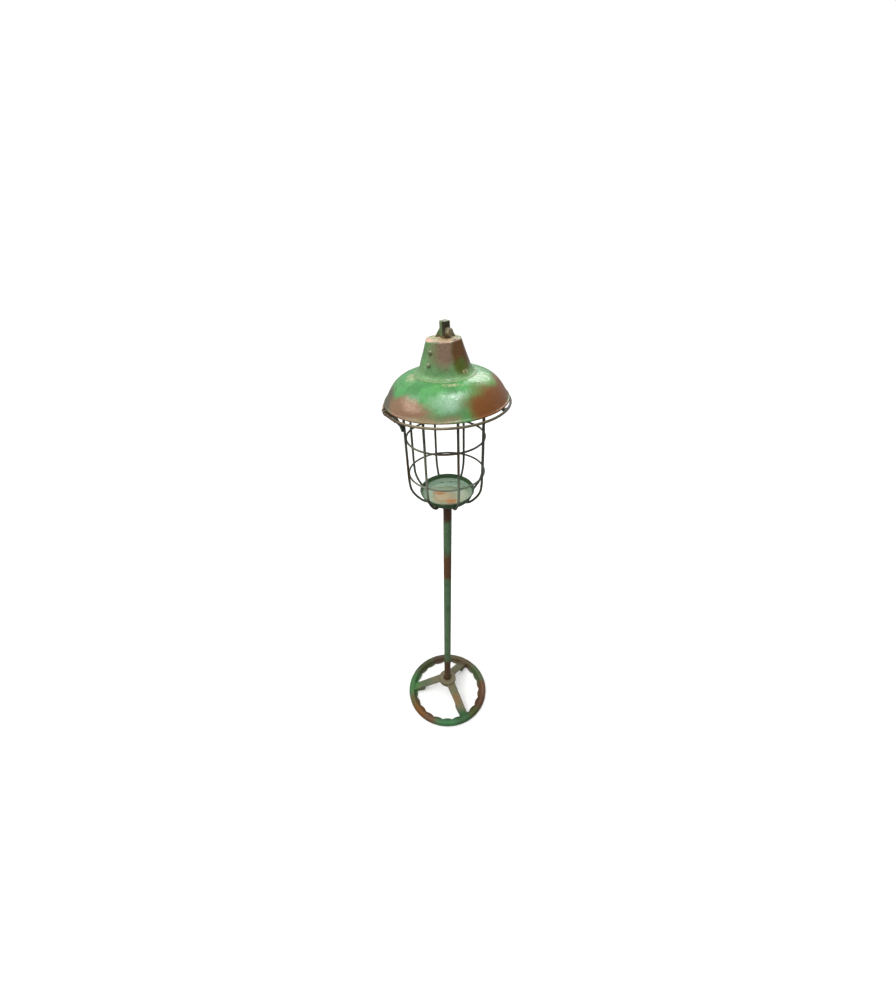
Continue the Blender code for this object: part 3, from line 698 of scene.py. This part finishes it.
def drawn_wire_tree():
    """A wire along a curve: a little uneven in line and thickness, with closed ends."""
    tree, given = new_tree("drawn_wire", (
        ("Wire radius", "NodeSocketFloat", 0.002), ("Waviness", "NodeSocketFloat", 0.0004),
        ("Spacing", "NodeSocketFloat", 0.003), ("Sides", "NodeSocketInt", 12),
        ("Seed", "NodeSocketInt", 0), ("Finish", "NodeSocketMaterial", None)))
    line = add(tree, "GeometryNodeResampleCurve", {"Curve": given["Geometry"], "Length": given["Spacing"]},
               mode="LENGTH")
    cloud = {"W": given["Seed"], "Scale": per_mm(60), "Detail": 1}
    drift = add(tree, "ShaderNodeTexNoise", cloud, "Color", noise_dimensions="4D")
    drift = add(tree, "ShaderNodeVectorMath", {0: drift, 1: (0.5, 0.5, 0.5)}, operation="SUBTRACT")
    drift = add(tree, "ShaderNodeVectorMath", {0: drift, "Scale": given["Waviness"]}, operation="SCALE")
    line = add(tree, "GeometryNodeSetPosition", {"Geometry": line, "Offset": drift})
    swell = add(tree, "ShaderNodeTexNoise", {"W": given["Seed"], "Scale": per_mm(9), "Detail": 2},
                noise_dimensions="4D")
    swell = add(tree, "ShaderNodeMapRange", {"Value": swell, "From Min": 0.3, "From Max": 0.7,
                                             "To Min": 0.96, "To Max": 1.05})
    line = add(tree, "GeometryNodeSetCurveRadius", {"Curve": line, "Radius": swell})
    section = add(tree, "GeometryNodeCurvePrimitiveCircle", {"Resolution": given["Sides"],
                                                             "Radius": given["Wire radius"]})
    tube = add(tree, "GeometryNodeCurveToMesh", {"Curve": line, "Profile Curve": section,
                                                 "Fill Caps": True})
    return close_tree(tree, tube, given["Finish"])


def weld_bead_tree():
    """Lumpy beads on every point of the base mesh, each turned and sized by chance."""
    tree, given = new_tree("weld_beads", (
        ("Bead radius", "NodeSocketFloat", 0.003), ("Lumpiness", "NodeSocketFloat", 0.35),
        ("Seed", "NodeSocketInt", 3), ("Finish", "NodeSocketMaterial", None)))
    ball = add(tree, "GeometryNodeMeshIcoSphere", {"Radius": 1.0, "Subdivisions": 3})
    lump = add(tree, "ShaderNodeTexNoise", {"Scale": 1.7, "Detail": 2})
    lump = add(tree, "ShaderNodeMapRange", {"Value": lump, "To Min": -1.0, "To Max": 1.0})
    lump = add(tree, "ShaderNodeMath", {0: lump, 1: given["Lumpiness"]}, operation="MULTIPLY")
    normal = add(tree, "GeometryNodeInputNormal")
    push = add(tree, "ShaderNodeVectorMath", {0: normal, "Scale": lump}, operation="SCALE")
    bead = add(tree, "GeometryNodeSetPosition", {"Geometry": ball, "Offset": push})
    spin = add(tree, "FunctionNodeRandomValue", {"Max": (tau, tau, tau), "Seed": given["Seed"]},
               data_type="FLOAT_VECTOR")
    spread = {"Min": 0.85, "Max": 1.2, "Seed": given["Seed"]}
    size = add(tree, "FunctionNodeRandomValue", spread, "Value", data_type="FLOAT")
    stored = add(tree, "GeometryNodeInputNamedAttribute", {"Name": "bead"}, data_type="FLOAT")
    size = add(tree, "ShaderNodeMath", {0: size, 1: stored}, operation="MULTIPLY")
    size = add(tree, "ShaderNodeMath", {0: size, 1: given["Bead radius"]}, operation="MULTIPLY")
    placed = add(tree, "GeometryNodeInstanceOnPoints", {
        "Points": given["Geometry"], "Instance": bead, "Rotation": spin, "Scale": size})
    return close_tree(tree, placed, given["Finish"])


LIP_HALF_WIDTH, LIP_HALF_HEIGHT = 0.0060, 0.0034
LIP_INNER_EDGE = 0.1025                                 # the lobes reach their full depth here


def lobed_rim_tree():
    """The handwheel's rim: a round bar with a lip inside it that swells into finger lobes."""
    tree, given = new_tree("lobed_rim", (
        ("Rim radius", "NodeSocketFloat", 0.1155), ("Bar radius", "NodeSocketFloat", 0.0095),
        ("Bar height", "NodeSocketFloat", 0.0085), ("Lip radius", "NodeSocketFloat", 0.1085),
        ("Lobes", "NodeSocketInt", 22), ("Lobe depth", "NodeSocketFloat", 0.0042),
        ("Steps", "NodeSocketInt", 440), ("Finish", "NodeSocketMaterial", None)))
    path = add(tree, "GeometryNodeCurvePrimitiveCircle", {"Resolution": given["Steps"],
                                                          "Radius": given["Rim radius"]})
    section = add(tree, "GeometryNodeCurvePrimitiveCircle", {"Resolution": 28,
                                                             "Radius": given["Bar radius"]})
    bar = add(tree, "GeometryNodeCurveToMesh", {"Curve": path, "Profile Curve": section})
    lift = add(tree, "ShaderNodeCombineXYZ", {"Z": given["Bar height"]})
    bar = add(tree, "GeometryNodeTransform", {"Geometry": bar, "Translation": lift})

    path = add(tree, "GeometryNodeCurvePrimitiveCircle", {"Resolution": given["Steps"],
                                                          "Radius": given["Lip radius"]})
    section = add(tree, "GeometryNodeCurvePrimitiveCircle", {"Resolution": 20, "Radius": 1.0})
    section = add(tree, "GeometryNodeTransform", {"Geometry": section,
                                                      "Scale": (LIP_HALF_WIDTH, LIP_HALF_HEIGHT, 1)})
    lip = add(tree, "GeometryNodeCurveToMesh", {"Curve": path, "Profile Curve": section})
    lip = add(tree, "GeometryNodeTransform", {"Geometry": lip, "Translation": (0, 0, LIP_HALF_HEIGHT)})
    spot = add(tree, "GeometryNodeInputPosition")
    level = add(tree, "ShaderNodeVectorMath", {0: spot, 1: (1, 1, 0)}, operation="MULTIPLY")
    outward = add(tree, "ShaderNodeVectorMath", {0: level}, operation="NORMALIZE")
    far = add(tree, "ShaderNodeVectorMath", {0: level}, "Value", operation="LENGTH")
    across = add(tree, "ShaderNodeSeparateXYZ", {0: spot}, "X")
    along = add(tree, "ShaderNodeSeparateXYZ", {0: spot}, "Y")
    turn = add(tree, "ShaderNodeMath", {0: along, 1: across}, operation="ARCTAN2")
    half = add(tree, "ShaderNodeMath", {0: given["Lobes"], 1: 0.5}, operation="MULTIPLY")
    turn = add(tree, "ShaderNodeMath", {0: turn, 1: half}, operation="MULTIPLY")
    wave = add(tree, "ShaderNodeMath", {0: turn}, operation="SINE")
    lobe = add(tree, "ShaderNodeMath", {0: wave}, operation="ABSOLUTE")
    share = add(tree, "ShaderNodeMapRange", {"Value": far, "From Min": given["Lip radius"],
                                             "From Max": LIP_INNER_EDGE})
    reach = add(tree, "ShaderNodeMath", {0: lobe, 1: given["Lobe depth"]}, operation="MULTIPLY")
    reach = add(tree, "ShaderNodeMath", {0: reach, 1: share}, operation="MULTIPLY")
    inward = add(tree, "ShaderNodeMath", {0: reach, 1: -1.0}, operation="MULTIPLY")
    offset = add(tree, "ShaderNodeVectorMath", {0: outward, "Scale": inward}, operation="SCALE")
    lip = add(tree, "GeometryNodeSetPosition", {"Geometry": lip, "Offset": offset})
    both = add(tree, "GeometryNodeJoinGeometry", {"Geometry": bar})
    tree.links.new(lip, both.node.inputs["Geometry"])
    return close_tree(tree, both, given["Finish"])


TREES = {}


def tree_of(maker):
    """Each tree is built once, when it is first asked for."""
    if maker not in TREES:
        TREES[maker] = maker()
    return TREES[maker]


def wire_piece(name, points, radius, finish, seed, closed=False, waviness=0.0005):
    """Round wire drawn along the points, closed into a hoop if asked."""
    curve = bpy.data.curves.new(name, "CURVE")
    curve.dimensions = "3D"
    spline = curve.splines.new("POLY")
    spline.points.add(len(points) - 1)
    for point, place in zip(spline.points, points):
        point.co = (*place, 1)
    spline.use_cyclic_u = closed
    base = bpy.data.objects.new(name, curve)
    bpy.context.scene.collection.objects.link(base)
    values = {"Wire radius": radius, "Waviness": waviness, "Spacing": 0.003, "Sides": 12, "Seed": seed,
              "Finish": finish}
    made = run_tree(base, tree_of(drawn_wire_tree), values, name)
    shown(made.data, 60)
    return made


def ring_points(place, radius, count=96):
    return [place @ around(360 * i / count, radius, 0) for i in range(count)]


def bead_piece(name, spots, radius, finish, seed):
    """Weld beads at (point, size) spots."""
    work = bmesh.new()
    for spot, _ in spots:
        work.verts.new(spot)
    base = from_bmesh(name, work)
    sizes = base.data.attributes.new("bead", "FLOAT", "POINT")
    sizes.data.foreach_set("value", [size for _, size in spots])
    values = {"Bead radius": radius, "Lumpiness": 0.35, "Seed": seed, "Finish": finish}
    return run_tree(base, tree_of(weld_bead_tree), values, name)


# Pieces

WIRES = 8
FIRST_WIRE = 17                                         # azimuth of the first upright
HINGE_WIRE = 6                                          # the upright that carries the hinge
# (radius, height) points down an upright, on the cage's own axis
UPRIGHT_BEND = ((0.0810, -0.0039), (0.0793, -0.0249), (0.0745, -0.0389), (0.0670, -0.0504),
                (0.0590, -0.0599), (0.0510, -0.0663), (0.0440, -0.0679))


def wire_azimuths():
    return [FIRST_WIRE + 360 / WIRES * i for i in range(WIRES)]


class LANTERN_OT_wheel(bpy.types.Operator):
    """Cast the handwheel: lobed rim, spokes and hub fused into one skin"""
    bl_idname = "lantern.wheel"
    bl_label = "Handwheel"

    def execute(self, context):
        size = context.scene.lantern_sizes
        finish = finish_of("wheel")
        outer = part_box("handwheel")[1].x
        base = from_bmesh("rim_base", bmesh.new())
        rim = run_tree(base, tree_of(lobed_rim_tree), {
            "Rim radius": outer - size.rim_bar, "Bar radius": size.rim_bar, "Bar height": 0.0085,
            "Lobes": size.lobes, "Lobe depth": size.lobe_depth, "Finish": finish}, "rim_skin")
        work = bmesh.new()
        work.from_mesh(frame["nodes"]["handwheel"].data)
        bmesh.ops.remove_doubles(work, verts=work.verts, dist=2e-6)
        work.from_mesh(rim.data)
        bpy.data.objects.remove(rim, do_unlink=True)
        wheel = from_bmesh("handwheel_casting", work, finish)
        fuse = wheel.modifiers.new("fuse", "REMESH")
        fuse.mode = "VOXEL"
        fuse.voxel_size = size.remesh
        relax = wheel.modifiers.new("relax", "SMOOTH")
        relax.factor = 0.5
        relax.iterations = 5
        wheel = applied(wheel)
        if not wheel.data.materials:
            wheel.data.materials.append(finish)
        roughened(wheel, 0.018, 0.0003, 0.0035, 0.00012, 4)
        for vertex in wheel.data.vertices:
            vertex.co.z = max(vertex.co.z, 0.0)
        wheel.data.shade_smooth()
        settle(wheel, "stand", "cast_wheel", "handwheel")
        return {"FINISHED"}


class LANTERN_OT_post(bpy.types.Operator):
    """Make the tube, its flange and the nut and washer under the hub"""
    bl_idname = "lantern.post"
    bl_label = "Post and hub nut"

    def execute(self, context):
        low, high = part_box("post")
        radius = (high.x - low.x) / 2
        wall, edge, steps, sides = 0.0022, 0.0006, 150, 40
        heights = [high.z + (low.z - high.z) * i / steps for i in range(steps + 1)]
        outer = [(radius - edge, heights[0])] + [(radius, z) for z in heights[1:-1]]
        outer += [(radius - edge, heights[-1])]
        inner = [(radius - wall, z) for z in (heights[-1], heights[0])]
        post = turned("post_tube", outer + inner, sides, Matrix.Identity(4), finish_of("post"))
        roughened(post, 0.050, 0.00012, 0.007, 0.00006, 9)
        shown(post.data, 50)
        settle(post, "stand", "green_enamel", "post")
        softened("post_flange", "dish_flange", finish_of("wire"), "stand", "fastener_steel", 0.0004)
        softened("hub_washer", "hub_washer_plate", finish_of("steel"), "stand", "fastener_steel", 0.0005)
        softened("hub_locknut", "hub_locknut_hex", finish_of("steel"), "stand", "fastener_steel", 0.0007)
        return {"FINISHED"}


class LANTERN_OT_dish(bpy.types.Operator):
    """Press the candle dish with its rolled lip and ridges"""
    bl_idname = "lantern.dish"
    bl_label = "Candle dish"

    def execute(self, context):
        lip, top, sheet = 0.0012, 0.0140, 0.0015
        rim, foot = 0.0585, 0.0525
        ridge_starts, ridge_width, ridge_top, ridge_steps = (0.0255, 0.0415), 0.006, 0.0011, 8
        inside = [(0, 0), (0.004, 0), (0.015, 0)]
        for start in ridge_starts:
            shares = [t / ridge_steps for t in range(ridge_steps + 1)]
            inside += [(start + ridge_width * t, ridge_top * sin(pi * t) ** 2) for t in shares]
        inside += rounded([(foot - 0.0030, 0), (foot - 0.0008, 0.0010), (0.0537, 0.0052),
                           (rim - 2 * lip - 0.0003, top - 1.8 * lip)], 5)
        bead = arc((rim - lip, top - lip), lip, 190, -60, 16)
        outside = rounded([(rim - 0.0008, top - 2.6 * lip), (0.0553, 0.0054), (foot + 0.0006, 0.0003),
                           (foot - 0.0016, -sheet), (0.0440, -sheet)], 5)
        outside += [(0.030, -sheet), (0.004, -sheet), (0, -sheet)]
        pale_height, fade, ridge_shade, floor_edge = 0.0042, 0.002, 0.55, foot - 0.004
        zones = [min(1.0, max(0.0, 1.0 - (z - pale_height) / fade)) for r, z in inside]
        # painted shade: the ridges' paint zone is lowered so they take the darker wall green
        zones = [zone - ridge_shade * min(z, ridge_top) / ridge_top if r < floor_edge else zone
                 for zone, (r, z) in zip(zones, inside)]
        zones += [0.0] * len(bead + outside)
        dish = turned("candle_pan", inside + bead + outside, 144, DISH, finish_of("dish"), zones)
        roughened(dish, 0.022, 0.00018, 0.004, 0.00005, 2)
        shown(dish.data, 50)
        settle(dish, "stand", "dish_paint", "candle_dish")
        return {"FINISHED"}


class LANTERN_OT_cage(bpy.types.Operator):
    """Bend the cage uprights and rings, and weld them"""
    bl_idname = "lantern.cage"
    bl_label = "Wire cage"

    def execute(self, context):
        size = context.scene.lantern_sizes
        finish = finish_of("wire")
        upper = (CAGE.inverted() @ middle("cage_ring_upper")).z
        bend = rounded(UPRIGHT_BEND, 6)
        for index, azimuth in enumerate(wire_azimuths()):
            top = TOP_RING @ around(azimuth, size.cage_radius, -size.top_wire - 0.0006)
            points = [top] + [CAGE @ around(azimuth, r, z) for r, z in bend]
            wire = wire_piece(f"cage_upright_{index + 1}", points, size.upright_wire, finish, index)
            settle(wire, "stand", "wire_paint", f"cage_wire_{index + 1}")

        raised = CAGE @ Matrix.Translation((0, 0, upper))
        rings = (("upper", raised, size.ring_radius, size.ring_wire, "cage_ring_upper"),
                 ("lower", CAGE, size.ring_radius, size.ring_wire, "cage_ring_lower"),
                 ("top", TOP_RING, size.cage_radius, size.top_wire, "cage_top_ring"))
        for seed, (name, place, radius, wire_r, node) in enumerate(rings):
            ring = wire_piece(f"cage_hoop_{name}", ring_points(place, radius), wire_r, finish, 20 + seed,
                              True, 0.0006)
            settle(ring, "stand", "wire_paint", node)

        spots = []
        mid = (size.cage_radius + size.ring_radius) / 2
        foot_r, foot_z = 0.0480, -0.0650                # where the dish rests on the bent ends
        for azimuth in wire_azimuths():
            spots += [(CAGE @ around(azimuth + side, mid, height), 0.62)
                      for height in (0, upper) for side in (-1.1, 1.1)]
            spots += [(CAGE @ around(azimuth + side, foot_r + step, foot_z + 0.09 * step), 1.3)
                      for side, step in ((-1.8, -0.002), (1.8, 0.001))]
            spots.append((TOP_RING @ around(azimuth, size.cage_radius, -0.0028), 0.8))
        under_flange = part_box("post_flange")[0].z + 0.0004
        spots += [(around(36 * turn, 0.0105, under_flange), 0.8) for turn in range(10)]
        beads = bead_piece("cage_welds", spots, size.weld_bead, finish, 5)
        settle(beads, "stand", "wire_paint")
        return {"FINISHED"}


class LANTERN_OT_hinge(bpy.types.Operator):
    """Round off the hinge bracket, links and pin"""
    bl_idname = "lantern.hinge"
    bl_label = "Lid hinge"

    def execute(self, context):
        finish = finish_of("wire")
        softened("hinge_bracket", "hinge_strap", finish, "stand", "wire_paint", 0.0007)
        softened("hinge_pin", "hinge_rivet", finish_of("steel"), "stand", "fastener_steel", 0.0003)
        for side in ("front", "rear"):
            softened(f"hinge_link_{side}", f"hinge_side_link_{side}", finish_of("ring"), "lid",
                     "worn_ring", 0.0005)
        size = context.scene.lantern_sizes
        wire_at = CAGE @ around(wire_azimuths()[HINGE_WIRE], size.cage_radius, 0)
        outward = Vector((HINGE_AT.x, HINGE_AT.y, 0)).normalized()
        heights, offset, apart = (0.938, 0.943, 0.948), 0.0024, 0.0026
        spots = []
        for height in heights:
            up = CAGE_UP * ((height - wire_at.z) / CAGE_UP.z)
            spots += [(wire_at + up + outward * offset + HINGE_AXIS * side, 0.8)
                      for side in (-apart, apart)]
        beads = bead_piece("hinge_welds", spots, size.weld_bead, finish, 8)
        settle(beads, "stand", "wire_paint")
        return {"FINISHED"}


CLIP_AZIMUTHS = (-53, 63, 183)
SKIRT_RADIUS = 0.1187                                   # middle of the skirt ring's wire
SHADE_BEAD = (0.1150, 0.0077)                           # middle of the rolled bead: radius and height
# (radius, height) points down the dome, from the neck's foot to the bead
DOME_SWEEP = ((0.0520, 0.0554), (0.0660, 0.0540), (0.0800, 0.0494), (0.0920, 0.0419),
              (0.1005, 0.0327), (0.1085, 0.0202), (0.1132, 0.0114))


class LANTERN_OT_shade(bpy.types.Operator):
    """Spin the dome with its rolled bead, and hang the skirt ring under it"""
    bl_idname = "lantern.shade"
    bl_label = "Shade and skirt ring"

    def execute(self, context):
        size = context.scene.lantern_sizes
        outer = [(0.0400, 0.0557), (0.0460, 0.0557), *rounded(DOME_SWEEP, 7)]
        bead = arc(SHADE_BEAD, 0.0020, 95, -175, 18)
        outline = outer + bead + inner_side(outer, size.sheet)
        dome = turned("shade_dome", outline, 224, LID, finish_of("shade"))
        roughened(dome, 0.045, 0.00070, 0.011, 0.00016, 1)
        shown(dome.data, 55)
        settle(dome, "lid", "green_enamel", "shade")

        hoop = ring_points(LID, SKIRT_RADIUS, 128)
        ring = wire_piece("skirt_hoop", hoop, size.skirt_wire, finish_of("ring"), 31, True, 0.0009)
        settle(ring, "lid", "worn_ring", "skirt_ring")
        spots = []
        finish = finish_of("wire")
        for index, azimuth in enumerate(CLIP_AZIMUTHS, 1):
            softened(f"shade_clip_{index}", f"shade_strap_{index}", finish, "lid", "wire_paint", 0.0004)
            spots += [(LID @ around(azimuth + side, SKIRT_RADIUS - 0.0022, 0.0006), 0.9)
                      for side in (-1.6, 0, 1.6)]
        beads = bead_piece("skirt_welds", spots, size.weld_bead, finish, 6)
        settle(beads, "lid", "wire_paint")
        return {"FINISHED"}


# Heights on the lid's own axis, from the skirt ring
NECK_FOOT = 0.0560
NECK_TOP = 0.1132
NECK_TOP_RADIUS = 0.0308
NECK_TAPER = 0.332                                      # radius gained for each metre down
NECK_ROUNDING = 0.038                                   # eight-sided at the top, round this far below it


def neck_radius(azimuth, depth):
    """Eight-sided near the top with softened corners, round at the foot; depth counts from the top."""
    cone = NECK_TOP_RADIUS + depth * NECK_TAPER
    round_share = min(1.0, max(0.0, depth / NECK_ROUNDING))
    facet = (azimuth + 22.5) % 45 - 22.5
    eight_sided = cone * cos(radians(11)) / cos(radians(facet))
    corner = exp(-((22.5 - abs(facet)) / 2.6) ** 2)
    eight_sided *= 1 - 0.014 * corner
    return eight_sided * (1 - round_share) + cone * round_share


class LANTERN_OT_neck(bpy.types.Operator):
    """Cast the neck, with its fillet at the foot, and fit its two domed bolts"""
    bl_idname = "lantern.neck"
    bl_label = "Neck and bolts"

    def execute(self, context):
        # each row is a height and how far the skin stands out from neck_radius there
        fillet, fillet_height, edge, wall = 0.0066, 0.0125, 0.0018, 0.003
        fillet_rows, straight_rows, edge_rows, steps = 12, 26, 5, 160
        rows = [(NECK_FOOT - 0.0006, fillet + 0.0002)]
        for share in (i / fillet_rows for i in range(fillet_rows + 1)):
            rows.append((NECK_FOOT + fillet_height * share ** 1.6, fillet * (1 - share) ** 2.2))
        shoulder = NECK_FOOT + fillet_height
        straight = NECK_TOP - edge - shoulder
        rows += [(shoulder + straight * i / straight_rows, 0.0) for i in range(1, straight_rows + 1)]
        turns = [pi / 2 * i / edge_rows for i in range(1, edge_rows + 1)]
        rows += [(NECK_TOP - edge + edge * sin(a), -edge * (1 - cos(a))) for a in turns]
        inside = [(z, -wall) for z in (NECK_TOP - wall, NECK_TOP - 0.02, NECK_FOOT + 0.014, NECK_FOOT)]
        angles = [360 * i / steps for i in range(steps)]
        work = bmesh.new()
        rings = []
        for z, extra in inside + rows:
            rings.append([work.verts.new(around(a, neck_radius(a, NECK_TOP - z) + extra, z))
                          for a in angles])
        last = rings[-1]
        for share in (0.8, 0.6, 0.4, 0.2):
            rings.append([work.verts.new((v.co.x * share, v.co.y * share, NECK_TOP)) for v in last])
        for lower, upper in zip(rings, rings[1:]):
            for i in range(steps):
                j = (i + 1) % steps
                work.faces.new((lower[i], lower[j], upper[j], upper[i]))
        work.faces.new(rings[0][::-1])
        work.faces.new(rings[-1])
        bmesh.ops.recalc_face_normals(work, faces=work.faces)
        work.transform(LID)
        neck = from_bmesh("neck_casting", work, finish_of("neck"))
        roughened(neck, 0.016, 0.00028, 0.004, 0.00008, 7)
        shown(neck.data, 50)
        settle(neck, "lid", "green_enamel", "neck")
        for name in ("upper", "lower"):
            softened(f"neck_bolt_{name}", f"neck_dome_bolt_{name}", finish_of("bolt"), "lid",
                     "fastener_steel", 0.0005, 3, 50)
            softened(f"neck_nut_{name}", f"neck_inner_nut_{name}", finish_of("steel"), "lid",
                     "fastener_steel", 0.0003)
        return {"FINISHED"}


class LANTERN_OT_lug(bpy.types.Operator):
    """Finish the lug, its clamp screw and washer"""
    bl_idname = "lantern.lug"
    bl_label = "Lug and clamp screw"

    def execute(self, context):
        softened("top_lug", "lug_block", finish_of("lug"), "lid", "green_enamel", 0.0006, 3)
        softened("lug_screw", "clamp_screw", finish_of("ring"), "lid", "fastener_steel", 0.0006, 3)
        softened("lug_washer", "clamp_washer", finish_of("ring"), "lid", "fastener_steel", 0.0003)
        return {"FINISHED"}


SUN_AZIMUTH, SUN_HEIGHT = -40, 55                       # degrees, from the front left and above
CAMERA_PITCH = 36.83                                    # degrees down from level
FLOOR_DROP = 0.0004                                     # keeps the floor clear of the wheel's foot


def area_light(name, place, target, size, power):
    """A soft rectangle of light at place, facing the target."""
    data = bpy.data.lights.new(name, "AREA")
    data.shape = "RECTANGLE"
    data.size, data.size_y = size
    data.energy = power
    made = bpy.data.objects.new(name, data)
    bpy.context.scene.collection.objects.link(made)
    made.location = place
    made.rotation_euler = (Vector(target) - Vector(place)).to_track_quat("-Z", "Y").to_euler()
    return made


class LANTERN_OT_stage(bpy.types.Operator):
    """Lay the floor, light it and set up the camera"""
    bl_idname = "lantern.stage"
    bl_label = "Studio"

    def execute(self, context):
        scene = context.scene
        work = bmesh.new()
        bmesh.ops.create_grid(work, x_segments=8, y_segments=8, size=30)
        floor = from_bmesh("studio_floor", work, finish_of("floor"))
        floor.location.z = -FLOOR_DROP
        floor.visible_diffuse = False                   # the lantern's underside stays dark
        floor.visible_glossy = False
        work = bmesh.new()
        bmesh.ops.create_uvsphere(work, u_segments=48, v_segments=24, radius=28)
        backdrop = from_bmesh("studio_backdrop", work, finish_of("backdrop"))
        backdrop.visible_diffuse = False
        backdrop.visible_glossy = False
        backdrop.visible_shadow = False

        world = bpy.data.worlds.new("soft_sky")
        world.use_nodes = True
        sky = world.node_tree
        place = add(sky, "ShaderNodeTexCoord", out="Generated")
        rise = add(sky, "ShaderNodeSeparateXYZ", {0: place}, "Z")
        glow = add(sky, "ShaderNodeMapRange", {"Value": rise, "From Min": -0.5, "From Max": 0.8,
                                               "To Min": 0.18, "To Max": 0.62})
        sky.links.new(glow, sky.nodes["Background"].inputs["Strength"])
        sky.nodes["Background"].inputs["Color"].default_value = (1, 1, 1, 1)
        scene.world = world
        scene.view_settings.view_transform = "Standard"

        sun = bpy.data.objects.new("window_light", bpy.data.lights.new("window_light", "SUN"))
        scene.collection.objects.link(sun)
        sun.data.energy = 1.7
        sun.data.angle = radians(35)
        sun.visible_glossy = False
        height = radians(SUN_HEIGHT)
        from_sun = -around(SUN_AZIMUTH, cos(height), sin(height))
        sun.rotation_euler = from_sun.to_track_quat("-Z", "Y").to_euler()
        target = (0, 0, 1.0)
        area_light("overhead_softbox", (0.18, -0.25, 3.0), target, (0.5, 0.45), 16)
        area_light("rear_softbox", (0.55, 1.85, 2.05), target, (0.9, 0.45), 9)
        area_light("left_softbox", (-1.7, 0.1, 2.5), target, (1.0, 1.0), 11)

        camera = bpy.data.objects.new("studio_camera", bpy.data.cameras.new("studio_camera"))
        scene.collection.objects.link(camera)
        camera.location = (0.0, -0.751, 1.278)
        camera.rotation_euler = (radians(90 - CAMERA_PITCH), 0, 0)
        camera.data.sensor_width = 36
        camera.data.lens = 14.84
        camera.data.shift_x = 0.0005
        camera.data.shift_y = 0.0152
        camera.data.clip_end = 100
        scene.camera = camera
        return {"FINISHED"}


OPERATORS = (LANTERN_OT_stage, LANTERN_OT_wheel, LANTERN_OT_post, LANTERN_OT_dish, LANTERN_OT_cage,
             LANTERN_OT_hinge, LANTERN_OT_shade, LANTERN_OT_neck, LANTERN_OT_lug)


class LANTERN_PT_panel(bpy.types.Panel):
    """Sizes, colours and one button for each group of pieces"""
    bl_label = "Caged Lantern"
    bl_idname = "LANTERN_PT_panel"
    bl_space_type = "VIEW_3D"
    bl_region_type = "UI"
    bl_category = "Lantern"

    def draw(self, context):
        layout = self.layout
        for group in (context.scene.lantern_sizes, context.scene.lantern_colours):
            box = layout.box()
            for name in group.__annotations__:
                box.prop(group, name)
        for operator in OPERATORS:
            layout.operator(operator.bl_idname)


CLASSES = (LanternSizes, LanternColours, *OPERATORS, LANTERN_PT_panel)


def register():
    for item in CLASSES:
        bpy.utils.register_class(item)
    bpy.types.Scene.lantern_sizes = PointerProperty(type=LanternSizes)
    bpy.types.Scene.lantern_colours = PointerProperty(type=LanternColours)


def unregister():
    del bpy.types.Scene.lantern_sizes
    del bpy.types.Scene.lantern_colours
    for item in reversed(CLASSES):
        bpy.utils.unregister_class(item)


def main():
    register()
    for operator in OPERATORS:
        group, name = operator.bl_idname.split(".")
        getattr(getattr(bpy.ops, group), name)()


if __name__ == "__main__":
    main()
